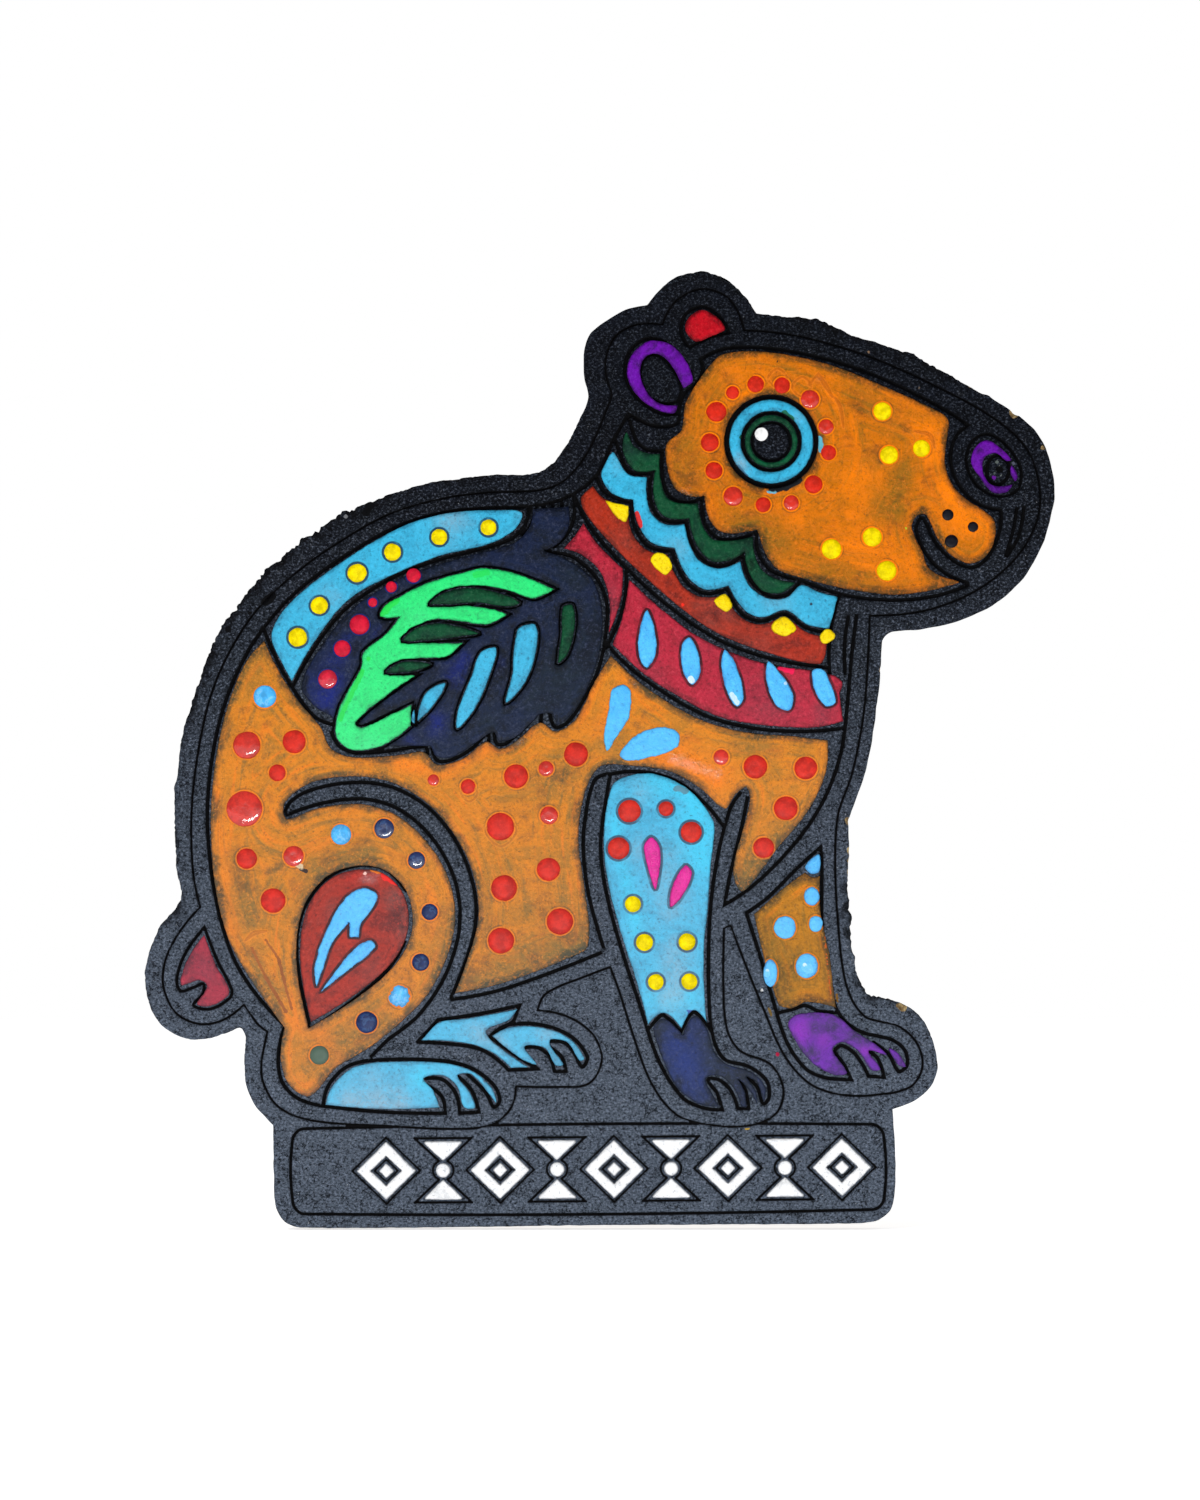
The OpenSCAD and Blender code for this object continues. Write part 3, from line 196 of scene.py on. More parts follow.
def within(rings, places):
    """Which places lie inside a shape: those with an odd number of its sides to their right."""
    count = np.zeros(len(places), int)
    for ring in rings:
        after = np.roll(ring, -1, axis=0)
        for start in range(0, len(places), 4000):
            x = places[start : start + 4000, 0][:, None]
            z = places[start : start + 4000, 1][:, None]
            spans = (ring[:, 1] > z) != (after[:, 1] > z)
            rise = np.where(after[:, 1] == ring[:, 1], 1e-12, after[:, 1] - ring[:, 1])
            meets = ring[:, 0] + (z - ring[:, 1]) * (after[:, 0] - ring[:, 0]) / rise
            count[start : start + 4000] += (spans & (meets > x)).sum(axis=1)
    return count % 2 == 1


def scattered(rings, spacing, seed):
    """Loose points all over the outlines' box, in a shaken honeycomb."""
    low = np.min([r.min(axis=0) for r in rings], axis=0)
    high = np.max([r.max(axis=0) for r in rings], axis=0)
    draw = np.random.default_rng(seed)
    rows = np.arange(low[1], high[1], spacing * ROW_GAP)
    points = []
    for k, z in enumerate(rows):
        x = np.arange(low[0] + (k % 2) * spacing / 2, high[0], spacing)
        points.append(np.stack([x, np.full(len(x), z)], axis=1))
    points = np.concatenate(points)
    return points + draw.uniform(-SHAKE, SHAKE, points.shape) * spacing


def beside(rings, distance, reach):
    """Points at a distance inside each outline point, left out where the shape is too narrow."""
    found = []
    for ring in rings:
        for p in ring + inward(ring) * distance:
            if reach(p) > distance * ROOM:
                found.append(p)
    return np.array(found).reshape(-1, 2)


def areas(faces, walls):
    """The number of each triangle's area, where walls part the areas."""
    sides_of = [[tuple(sorted((tri[i - 1], tri[i]))) for i in range(3)] for tri in faces]
    beyond = {}
    for f, sides in enumerate(sides_of):
        for side in sides:
            beyond.setdefault(side, []).append(f)
    area = [-1] * len(faces)
    number = 0
    for seed in range(len(faces)):
        if area[seed] >= 0:
            continue
        area[seed] = number
        todo = [seed]
        while todo:
            for side in sides_of[todo.pop()]:
                found = [] if side in walls else [g for g in beyond[side] if area[g] < 0]
                for g in found:
                    area[g] = number
                todo += found
        number += 1
    return area


def triangulated(rings, loose):
    """A Delaunay mesh through outlines and loose points.

    Gives the places, the triangles, each triangle's area number, and where each outline point went.
    """
    places, edges = [], []
    for ring in rings:
        first, n = len(places), len(ring)
        places += [Vector(p) for p in ring]
        edges += [(first + i, first + (i + 1) % n) for i in range(n)]
    places += [Vector(p) for p in loose]
    out, joined, faces, points, source, _ = delaunay_2d_cdt(places, edges, [], 0, 1e-5, True)
    went = np.zeros(len(places), int)
    for i, given in enumerate(points):
        went[list(given)] = i
    walls = {tuple(sorted(e)) for e, s in zip(joined, source) if s}
    area = areas(faces, walls)
    went = went[: sum(len(ring) for ring in rings)]
    return np.array([v[:] for v in out]), np.array(faces), np.array(area), went


def area_middles(places, triangles, area):
    """A place well inside each area: the middle of its largest triangle."""
    a, b, c = (places[triangles[:, i]] for i in range(3))
    size = np.abs((b - a)[:, 0] * (c - a)[:, 1] - (b - a)[:, 1] * (c - a)[:, 0])
    order = np.lexsort((-size, area))
    first = np.unique(area[order], return_index=True)[1]
    return ((a + b + c) / 3)[order[first]]


def facing_back(places, triangles):
    a, b, c = (places[triangles[0, i]] for i in range(3))
    return (b - a)[0] * (c - a)[1] - (b - a)[1] * (c - a)[0] < 0


def filled(rings, loose, to_front=True):
    """Places and triangles that fill a shape, facing one way, and where each outline point went."""
    places, triangles, area, went = triangulated(rings, loose)
    triangles = triangles[within(rings, area_middles(places, triangles, area))[area]]
    turn = facing_back(places, triangles) == to_front
    return places, triangles[:, ::-1] if turn else triangles, went


def tube_faces(start, rows, turns):
    """The faces between rings of points that are numbered ring after ring."""
    faces = []
    for row in range(rows - 1):
        for k in range(turns):
            a, b = start + row * turns + k, start + row * turns + (k + 1) % turns
            faces.append((a, b, b + turns, a + turns))
    return faces


def wander(x, z, scale, seed=0.0):
    """Smooth noise from -1 to 1 at a place, with features about 1/scale mm across."""
    return noise.noise((x * scale, z * scale, seed))


# ---------- making pieces ----------
def make_piece(name, places, faces, looks, stands_for, values=None, face_looks=None):
    """A mesh piece from places in mm, as x, depth and z, that stands for CAD nodes and rides on the root."""
    mesh = bpy.data.meshes.new(name)
    places = np.asarray(places, float)
    upright = np.stack([places[:, 0], -places[:, 1], places[:, 2]], axis=1) * MM
    mesh.from_pydata(upright.tolist(), [], [tuple(f) for f in faces])
    for key, numbers in (values or {}).items():
        numbers = np.asarray(numbers, np.float32)
        layer = mesh.attributes.new(key, "FLOAT" if numbers.ndim == 1 else "FLOAT_COLOR", "POINT")
        layer.data.foreach_set("value" if numbers.ndim == 1 else "color", numbers.reshape(-1))
    for look in looks:
        mesh.materials.append(look)
    if face_looks is not None:
        mesh.polygons.foreach_set("material_index", np.asarray(face_looks, np.int32))
    mesh.polygons.foreach_set("use_smooth", [True] * len(mesh.polygons))
    mesh.update()
    piece = bpy.data.objects.new(name, mesh)
    bpy.context.scene.collection.objects.link(piece)
    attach(piece, "root")
    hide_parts(*stands_for)


def dots_of(node):
    """Middle and radius of each round dot of a node, in mm."""
    foot = depths(node)[0]
    return [
        (*ring.mean(axis=0), np.linalg.norm(ring - ring.mean(axis=0), axis=1).mean())
        for ring in outlines(node, foot)
    ]


# ---------- materials ----------
def srgb(code):
    """A colour in hex, as the eye reads it, to the linear one that Blender works in."""
    values = [int(code[i : i + 2], 16) / 255 for i in (0, 2, 4)]
    return tuple(c / 12.92 if c <= 0.04045 else ((c + 0.055) / 1.055) ** 2.4 for c in values) + (1.0,)


COAT_ROUGHNESS = 0.1
# Painted sheen: its pale tint, and the heights in mm where it starts and where it is full
SHEEN_TINT = (0.6, 0.75, 1.0, 1.0)
SHEEN_NONE_AT, SHEEN_FULL_AT = 25, -30
SOOT = srgb("060608")
STRAY_OR_GLINT_EDGE = (0.38, 0.62)


class Signal:
    """A number or a colour that varies over a surface. Numbers can be added, subtracted and multiplied."""

    def __init__(self, tree, socket):
        self.tree = tree
        self.socket = socket

    def __add__(self, other):
        return self.tree.math("ADD", self, other)

    def __sub__(self, other):
        return self.tree.math("SUBTRACT", self, other)

    def __mul__(self, other):
        return self.tree.math("MULTIPLY", self, other)


class Tree:
    """A node tree, in short calls."""

    def __init__(self, owner):
        owner.use_nodes = True
        self.nodes = owner.node_tree.nodes
        self.links = owner.node_tree.links
        self.nodes.clear()

    def feed(self, node, inputs):
        """Gives inputs a fixed value or another node's signal; None leaves one as it is."""
        for name, value in inputs.items():
            if isinstance(value, Signal):
                self.links.new(value.socket, node.inputs[name])
            elif value is not None:
                node.inputs[name].default_value = value
        return node

    def signal(self, kind, output, inputs=None, **settings):
        """One output of a new node. Settings come first, because they decide which inputs there are."""
        node = self.nodes.new("ShaderNode" + kind)
        for name, value in settings.items():
            setattr(node, name, value)
        return Signal(self, self.feed(node, inputs or {}).outputs[output])

    def math(self, operation, a, b=0.0, clamp=False):
        return self.signal("Math", 0, {0: a, 1: b}, operation=operation, use_clamp=clamp)


class Look(Tree):
    """A material. Noise scales are per millimetre."""

    def __init__(self, name, roughness=0.5, specular=0.3):
        self.material = bpy.data.materials.new(name)
        super().__init__(self.material)
        self.shader = self.nodes.new("ShaderNodeBsdfPrincipled")
        surface = Signal(self, self.shader.outputs[0])
        self.feed(self.nodes.new("ShaderNodeOutputMaterial"), {"Surface": surface})
        fixed = {"Roughness": roughness, "Specular IOR Level": specular, "Coat Roughness": COAT_ROUGHNESS}
        self.feed(self.shader, fixed)
        self.place = self.scaled(self.signal("TexCoord", "Object"), (1 / MM,) * 3)

    def scaled(self, vector, by):
        return self.signal("VectorMath", 0, {0: vector, 1: by}, operation="MULTIPLY")

    def swirled(self, amount, scale, seed=0.0):
        """Places carried off by up to half this many mm, so that straight strokes bend."""
        inputs = {"Vector": self.place, "W": seed, "Scale": scale, "Detail": 1.0}
        drift = self.signal("TexNoise", "Color", inputs, noise_dimensions="4D")
        inputs = {0: drift, 1: (amount,) * 3, 2: self.place}
        return self.signal("VectorMath", 0, inputs, operation="MULTIPLY_ADD")

    def coordinate(self, axis):
        """Millimetres along one axis."""
        return self.signal("SeparateXYZ", axis, {0: self.place})

    def alongside(self, spread=0.3, across=2.4):
        """Places measured along and away from the paint's edge, for strokes that follow it."""
        x, z = self.coordinate("X") * spread, self.coordinate("Z") * spread
        return self.signal("CombineXYZ", 0, {0: x, 1: self.value("inset") * across, 2: z})

    def noise(self, scale, detail=2.0, rough=0.55, stretch=None, seed=0.0, place=None):
        place = place or self.place
        place = self.scaled(place, stretch) if stretch else place
        inputs = {"Vector": place, "W": seed, "Scale": scale, "Detail": detail, "Roughness": rough}
        return self.signal("TexNoise", "Fac", inputs, noise_dimensions="4D")

    def threads(self, scale, width, seed=0.0, place=None):
        """Thin winding lines: 1 along them and 0 beside."""
        away = self.noise(scale, 3.0, 0.6, seed=seed, place=place) - 0.5
        return self.band(self.math("ABSOLUTE", away), width, 0.0)

    def flecks(self, scale, seed=0.0):
        """Distance from scattered points: 0 at each."""
        inputs = {"Vector": self.place, "W": seed, "Scale": scale}
        return self.signal("TexVoronoi", "Distance", inputs, voronoi_dimensions="4D")

    def value(self, name, output="Fac"):
        """What the points of the mesh carry under this name."""
        return self.signal("Attribute", output, attribute_name=name)

    def band(self, x, low, high, to_low=0.0, to_high=1.0):
        """Goes smoothly from one value at low to the other at high."""
        ends = {"Value": x, "From Min": low, "From Max": high, "To Min": to_low, "To Max": to_high}
        return self.signal("MapRange", "Result", ends, interpolation_type="SMOOTHSTEP")

    def mix(self, share, a, b):
        return self.signal("Mix", "Result", {"Factor": share, "A": a, "B": b}, data_type="RGBA")

    def over(self, colour, tint, x, low, high, share=1.0):
        """The colour, with a share of a tint laid over it where x has gone from low to high."""
        return self.mix(self.band(x, low, high, 0.0, share), colour, tint)

    def with_strays_and_glints(self, colour):
        """The colour, with strays of other paint and painted highlights on it."""
        return self.over(colour, self.value("stray_or_glint_colour", "Color"), self.value("stray_or_glint"), *STRAY_OR_GLINT_EDGE)

    def painted_sheen(self, colour, share):
        """A painted sheen: a pale veil that stands in for light glancing off the satin surface, none at the
        top of the part and most at its foot.
        """
        return self.over(colour, SHEEN_TINT, self.coordinate("Z"), SHEEN_NONE_AT, SHEEN_FULL_AT, share)

    def finish(self, colour, bumps=(), roughness=None, coat=None):
        """Sets the colour, bumps as pairs of height and its size in mm, and where a wet gloss lies."""
        normal = None
        for height, size in bumps:
            inputs = {"Height": height, "Distance": size * MM, "Normal": normal}
            normal = self.signal("Bump", "Normal", inputs)
        inputs = {"Base Color": colour, "Roughness": roughness, "Coat Weight": coat}
        self.feed(self.shader, {**inputs, "Normal": normal, "Coat Normal": normal})
        return self.material


def paler(colour, by=1.0):
    """A lighter tone of the same paint; further from it with a larger second number."""
    return tuple(min(1.0, c * (1 + 0.15 * by) + 0.015 * by) for c in colour[:3]) + (1.0,)


def toned(colour, red, green, blue):
    return (colour[0] * red, colour[1] * green, colour[2] * blue, 1.0)


def board_face_look():
    look = Look("Board_face", roughness=0.7, specular=0.05)
    fibres = look.noise(4.2, 4.0, 0.8, stretch=(1.0, 1.0, 1.3))
    mottle = look.noise(0.7, 3.0, 0.6, seed=3.0)
    where = look.noise(1.3, 2.0, 0.6, seed=8.0)
    # Painted sheen: the board's own fibres, hairs and specks grow paler towards the foot, and a pale veil
    # lightens the face there
    low = look.band(look.coordinate("Z"), 34, 0, 0.35, 1.0)
    colour = look.over(srgb("05070c"), srgb("0b0f18"), mottle, 0.3, 0.75)
    colour = look.painted_sheen(colour, 0.11)
    colour = look.mix(look.band(fibres, 0.5, 0.68) * low * 0.34, colour, srgb("acbad4"))
    hairs = look.threads(1.5, 0.02, seed=2.0) * look.band(where, 0.42, 0.3)
    colour = look.mix(hairs * (low * 0.22), colour, srgb("bec6d6"))
    colour = look.over(colour, srgb("04060b"), fibres, 0.5, 0.37, 0.92)
    gouges = look.threads(1.9, 0.036, seed=6.0) * look.band(where, 0.46, 0.58)
    colour = look.mix(gouges * 0.9, colour, srgb("05070c"))
    specks = look.band(look.flecks(1.9), 0.11, 0.06, 0.0, 0.5)
    colour = look.mix(specks * low, colour, srgb("c4c8ce"))
    char = look.value("char") * look.band(where, 0.3, 0.6, 0.4, 1.0)
    colour = look.over(colour, SOOT, char, 0.15, 0.75, 0.85)
    colour = look.over(look.with_strays_and_glints(colour), SOOT, look.value("soot"), 0.62, 0.88)
    tan = look.noise(2.6, 3.0, 0.65, seed=9.0)
    bare = look.over(srgb("645036"), srgb("bea676"), tan, 0.35, 0.7)
    colour = look.over(colour, bare, look.value("bare"), 0.35, 0.65)
    return look.finish(colour, [(fibres, 0.12), (gouges, -0.05)])


def board_edge_look():
    look = Look("Board_edge", roughness=0.85, specular=0.08)
    burn = look.noise(1.4, 3.0, 0.6, stretch=(1.0, 0.16, 1.0))
    fibres = look.noise(6.0, 3.0, 0.7, stretch=(1.0, 0.5, 1.0), seed=2.0)
    colour = look.over(srgb("140f0c"), srgb("563c26"), burn, 0.35, 0.72)
    colour = look.over(colour, srgb("3a2a1e"), fibres, 0.5, 0.8, 0.5)
    colour = look.over(colour, srgb("0e0c0c"), look.value("soot"), 0.1, 0.9)
    bare = look.mix(fibres, srgb("8e744e"), srgb("c8b48c"))
    colour = look.over(colour, bare, look.value("bare"), 0.25, 0.55)
    return look.finish(colour, [(burn, 0.12), (fibres, 0.08)])


def board_back_look():
    look = Look("Board_back", roughness=0.7, specular=0.15)
    fibres = look.noise(4.0, 4.0, 0.7, stretch=(1.0, 1.0, 1.4))
    cloud = look.noise(0.25, 3.0, 0.6, seed=5.0)
    colour = look.over(srgb("80603e"), srgb("b08e64"), fibres, 0.3, 0.75)
    colour = look.over(colour, srgb("6e5034"), cloud, 0.35, 0.75, 0.35)
    colour = look.over(colour, srgb("543c28"), look.flecks(1.7, 4.0), 0.12, 0.05, 0.6)
    smoke = look.band(look.value("soot"), 0.0, 1.0) * look.band(cloud, 0.2, 0.7, 0.5, 1.0)
    colour = look.mix(smoke, colour, srgb("221812"))
    return look.finish(colour, [(fibres, 0.04)])


class Brushwork:
    """The noises that a brushed field of paint is made of."""

    def __init__(self, look, patch_scale, seed):
        bent = look.swirled(3.0, 0.2, seed)
        stretch = (0.5, 1.0, 1.3)
        brushed = look.noise(1.1, 3.0, 0.6, stretch=stretch, seed=seed + 1, place=bent)
        self.patch = look.noise(patch_scale, 4.0, 0.55, seed=seed, place=bent)
        self.beside = look.noise(1.0, 3.0, 0.65, seed=seed + 2, place=look.alongside())
        self.grain = look.noise(3.6, 4.0, 0.8, seed=seed + 3)
        self.ridges = look.threads(0.8, 0.03, seed=seed + 4, place=bent)
        self.inset = look.value("inset")
        self.strokes = look.mix(look.band(self.inset, 0.5, 1.6, 0.15, 0.9), self.beside, brushed)
        self.mottle = self.patch * 0.6 + self.strokes * 0.4
        self.wash = look.value("wash")

    def worn(self, look, edge, fade, torn, patches):
        """How far the paint is worn thin: along its uneven edge, and in patches where it isn't rich."""
        ragged = (self.beside - 0.5) * (fade * torn * 1.4) + (self.patch - 0.5) * (fade * torn * 4.0)
        rim = look.band(self.inset + ragged, fade, 0.0, 0.0, edge)
        patchy = self.patch + self.wash * 0.12 + self.strokes * 0.2
        patchy = look.band(patchy, 0.62, 0.84, 0.0, patches)
        patchy = patchy * look.band(look.value("rich"), 0.0, 0.7, 1.0, 0.1)
        return look.math("MAXIMUM", rim, patchy)


def finished_paint(
    name, colours, edge=0.6, fade=0.5, torn=1.0, patches=0.4, patch_scale=0.5, painted_sheen=0.09, grain_share=0.6,
    lift=1.0, roughness=0.5, specular=0.08, bump=0.14, dark_rings=False, streaks=0.0, seed=0.0,
):
    """Brushed acrylic: full colour where it lies thick, and the board's dark showing where it lies thin."""
    thick, mid, thin, stain, *fresh = (srgb(code) for code in colours.split())
    rich = fresh[0] if fresh else paler(thick)
    look = Look(name, roughness, specular)
    brush = Brushwork(look, patch_scale, seed)
    colour = look.over(mid, thick, brush.mottle, 0.41, 0.59)
    if streaks:
        drawn = look.noise(1.0, 2.0, 0.55, seed=seed + 7, place=look.alongside(0.2, 2.0))
        colour = look.over(colour, stain, drawn, 0.53, 0.68, streaks)
        colour = look.over(colour, rich, drawn, 0.46, 0.33, streaks * 0.8)
    uneven = look.band(brush.mottle, 0.38, 0.58, 0.55, 1.0)
    colour = look.mix(look.math("MULTIPLY", look.value("rich"), uneven, clamp=True), colour, rich)
    uneven = look.band(brush.mottle, 0.38, 0.62, 0.95, 0.6)
    colour = look.mix(look.math("MULTIPLY", brush.wash, uneven, clamp=True), colour, stain)
    colour = look.mix(brush.worn(look, edge, fade, torn, patches), colour, thin)
    colour = look.over(colour, paler(thick, lift), brush.grain, 0.51, 0.69, grain_share)
    colour = look.over(colour, thin, brush.grain, 0.48, 0.3, grain_share)
    # Paler lines along the brush ridges, where the paint lies thickest: partly its own colour, partly a
    # painted highlight on the ridges
    colour = look.mix(brush.ridges * 0.26, colour, paler(thick))
    colour = ringed(look, colour, brush.patch, thin, None if dark_rings else rich)
    # A paler band just beside each scar: a painted highlight along its ridge. The scar itself is darker,
    # red-brown paint
    colour = look.over(colour, paler(thick), look.value("scar"), 0.22, 0.13, 0.4)
    colour = look.over(colour, toned(mid, 0.72, 0.5, 0.5), look.value("scar"), 0.12, 0.05, 0.45)
    # Painted sheen: a pale veil over the paint, growing towards the part's foot
    colour = look.painted_sheen(look.with_strays_and_glints(colour), painted_sheen)
    rough = look.band(brush.strokes, 0.25, 0.75, roughness - 0.1, roughness + 0.12)
    wet = look.value("wet")
    runs = look.noise(2.2, 2.0, 0.5, seed=seed + 6) * wet
    bumps = [(brush.strokes, bump), (brush.grain, bump * 0.6), (brush.ridges, bump * 0.12), (runs, 0.4)]
    return look.finish(colour, bumps, rough, look.band(wet, 0.1, 0.7))


def ringed(look, colour, patch, thin, bank):
    """The paint round each dot: a broken dark ring, which is paint worn thin there and painted shadow beside
    the raised mark, or a bank of this colour with a dark line beyond.
    """
    halo = look.value("halo")
    broken = look.band(patch, 0.35, 0.6, 0.25, 0.9)
    if bank is None:
        ring = look.band(halo, 0.24, 0.15) * look.band(broken, 0.2, 0.7, 0.55, 0.95)
        return look.mix(ring, colour, thin)
    ring = look.band(halo, 0.14, 0.08) * look.band(broken, 0.2, 0.9, 0.1, 0.7)
    line = look.band(halo, 0.1, 0.17) * look.band(halo, 0.28, 0.19)
    return look.mix(line * look.band(broken, 0.5, 0.9, 0.0, 0.4), look.mix(ring, colour, bank), thin)


def drop_look(name, code, glint_streak_colour=None, painted_sheen=0.02, satin=0.06):
    """A thick drop of paint: even colour, some drops glossier than others."""
    look = Look(name, specular=satin)
    colour = srgb(code)
    dark = toned(colour, 0.62, 0.62, 0.62)
    swirl = look.noise(1.4, 3.0, 0.6)
    grain = look.noise(4.5, 3.0, 0.75, seed=4.0)
    rise = look.value("rise")
    shade = look.over(dark, colour, swirl, 0.36, 0.64)
    shade = look.over(shade, paler(colour), grain, 0.5, 0.72, 0.45)
    shade = look.over(shade, dark, grain, 0.5, 0.28, 0.5)
    # Darker towards each drop's foot and paler on its top, following its height: painted shade and a painted
    # highlight on the dome
    shade = look.over(shade, dark, rise, 0.45, 0.0, 0.7)
    shade = look.over(shade, paler(colour), rise, 0.75, 1.05, 0.2)
    # Pale winding streaks over the upper dome: painted highlights
    if glint_streak_colour:
        streak = look.threads(0.9, 0.05, seed=7.0, place=look.swirled(1.2, 0.8, 2.0))
        shade = look.mix(streak * look.band(rise, 0.4, 0.95, 0.0, 0.3), shade, srgb(glint_streak_colour))
    # Painted sheen: a pale veil over the drop, growing towards the part's foot
    shade = look.painted_sheen(look.with_strays_and_glints(shade), painted_sheen)
    return look.finish(shade, [(swirl, 0.03), (grain, 0.012)], coat=look.band(look.value("lot"), 0.5, 0.15))


def ferrite_look():
    look = Look("Ferrite", roughness=0.55, specular=0.4)
    grain = look.noise(5.0, 4.0, 0.7)
    scuff = look.noise(1.2, 2.0, 0.5, stretch=(0.15, 1.0, 2.0), seed=3.0)
    colour = look.over(srgb("2c2c2f"), srgb("4e4e52"), grain, 0.3, 0.75)
    colour = look.over(colour, srgb("78787c"), scuff, 0.6, 0.75, 0.4)
    return look.finish(colour, [(grain, 0.03), (scuff, 0.02)])


def glue_look():
    look = Look("Glue", roughness=0.22, specular=0.5)
    cloud = look.noise(1.2, 3.0, 0.6)
    look.feed(look.shader, {"Transmission Weight": 0.25})
    return look.finish(look.over(srgb("d6c89e"), srgb("bea874"), cloud, 0.3, 0.7), [(cloud, 0.05)])


# ---------- paint films ----------
# Soft spots, as x, z, reach and strength, where a field of paint is thinner and its ground shows through
WASHES = {
    "head_orange": [
        (25.2, 23.6, 1.0, 0.85, 24.4, 19.6), (23.6, 20.6, 1.3, 0.6), (6.9, 25.6, 1.6, 0.7, 7.2, 22.6),
        (21.6, 29.8, 1.3, 0.45, 24.6, 27.4), (12.0, 18.8, 1.6, 0.7, 14.6, 17.0),
        (18.5, 33.6, 1.2, 0.5, 22.0, 32.8), (28.9, 28.4, 0.8, 0.6), (8.8, 30.2, 1.3, 0.4, 9.6, 32.4),
        (8.0, 26.8, 1.1, 0.4, 8.0, 24.4), (12.4, 20.6, 0.8, 0.5), (17.2, 15.2, 1.2, 0.5, 22.0, 13.9),
    ],
    "body_orange": [
        (-8.5, -20.6, 3.0, 0.95, 1.0, -15.6), (-6.0, -17.2, 1.6, 0.95),
        (-11.4, -19.6, 1.2, 0.85, -8.4, -18.4), (-3.0, -14.5, 3.4, 0.5), (-1.5, -9.0, 2.0, 0.3),
        (10.4, -12.6, 1.9, 0.9, 14.8, -8.6), (16.8, -7.2, 2.2, 0.75),
        (-30.2, -9.0, 0.9, 0.75, -29.3, -14.2), (-27.6, -10.2, 0.35, 0.9, -26.6, -9.6),
        (-22.4, -25.6, 2.0, 0.6, -19.0, -23.0), (-13.4, -19.8, 1.3, 0.6, -12.4, -14.0),
        (-23.6, -9.9, 1.0, 0.8, -19.4, -8.4), (-24.9, -14.4, 0.8, 0.6, -24.4, -10.8),
        (-13.0, 0.0, 2.0, 0.4), (-30.5, 5.4, 1.4, 0.5, -28.2, 8.0), (0.8, 0.6, 1.2, 0.5),
        (-16.4, -5.4, 0.8, 0.4), (-28.9, -17.0, 0.7, 0.6, -27.4, -20.6),
        (-5.0, -3.0, 1.6, 0.5, -2.0, -1.6), (11.6, 0.4, 0.9, 0.5, 14.0, 0.2),
        (-9.9, -12.0, 0.8, 0.5, -9.4, -16.0),
    ],
    "foreleg_far_orange": [
        (14.0, -14.8, 1.2, 0.7, 15.2, -20.4), (16.6, -18.2, 1.4, 0.6),
        (18.6, -14.0, 0.6, 0.6, 19.0, -19.0), (15.0, -11.6, 0.8, 0.4),
    ],
    "haunch_leaf_red": [
        (-17.0, -12.6, 1.1, 0.75, -16.6, -14.8), (-19.0, -18.6, 1.4, 0.4), (-22.4, -13.5, 0.9, 0.4),
    ],
    "tail_crimson": [(-33.1, -18.0, 0.6, 0.3, -32.8, -18.8)],
    "collar_crimson": [
        (14.0, 4.0, 2.4, 0.4), (8.5, 9.0, 1.6, 0.2), (4.0, 6.0, 1.4, 0.3), (18.6, 3.0, 0.9, 0.6),
    ],
    "collar_band_red": [(9.5, 11.6, 1.8, 0.5), (13.5, 8.6, 1.4, 0.35), (2.0, 17.5, 1.1, 0.3)],
    "nape_wedge_crimson": [(0.2, 12.5, 1.6, 0.8), (-1.6, 14.5, 1.1, 0.6)],
    "paw_near_navy": [
        (9.6, -24.0, 1.1, 0.8, 10.4, -27.4), (4.6, -22.9, 0.8, 0.6), (8.4, -30.4, 1.1, 0.6),
        (13.0, -28.0, 1.6, 0.6),
    ],
    "saddle_navy": [
        (-0.5, 9.5, 2.4, 0.9), (-13.5, 16.6, 2.2, 0.8), (-4.5, 4.6, 2.2, 0.9, -1.6, 7.6),
        (-2.0, 15.6, 1.8, 0.9), (-9.0, 2.6, 1.2, 0.6),
    ],
    "foreleg_near_blue": [
        (5.0, -9.0, 1.5, 0.4, 6.0, -13.0), (6.4, -17.0, 1.2, 0.6, 6.0, -20.6), (3.4, -3.6, 1.0, 0.3),
        (3.2, -8.4, 1.0, 0.35),
    ],
    "paw_far_purple": [
        (19.3, -22.9, 0.8, 0.8), (18.0, -23.1, 0.6, 0.7), (17.6, -25.2, 0.6, 0.8), (21.6, -23.6, 0.9, 0.9),
        (20.2, -25.6, 0.6, 0.5),
    ],
    "hind_paw_near_blue": [
        (-20.6, -29.4, 1.5, 0.75, -17.0, -29.6), (-19.0, -27.4, 0.9, 0.4), (-13.0, -27.6, 0.5, 0.5),
    ],
    "hind_paw_far_blue": [(-10.5, -23.6, 0.9, 0.5, -8.6, -24.4), (-4.5, -23.6, 0.8, 0.5)],
    "saddle_band_blue": [(-12.6, 19.2, 1.6, 0.5), (-22.5, 12.5, 1.2, 0.3), (-6.0, 20.4, 1.2, 0.4)],
    "scallops_blue": [(14.6, 12.6, 1.2, 0.4), (6.4, 16.8, 1.0, 0.4), (1.6, 24.0, 0.9, 0.3)],
    "scallops_green": [(2.6, 25.0, 1.2, 0.8), (13.6, 14.4, 1.2, 0.5)],
    "eye_ring_blue": [(11.6, 23.8, 0.8, 0.7), (16.6, 27.8, 0.6, 0.3)],
    "near_ear_purple": [(6.0, 29.8, 1.0, 0.5)],
    "far_ear_red": [(10.4, 35.0, 0.7, 0.3)],
    "leaf_green": [(-19.0, 0.0, 1.1, 0.3), (-15.0, 11.0, 1.1, 0.2)],
}
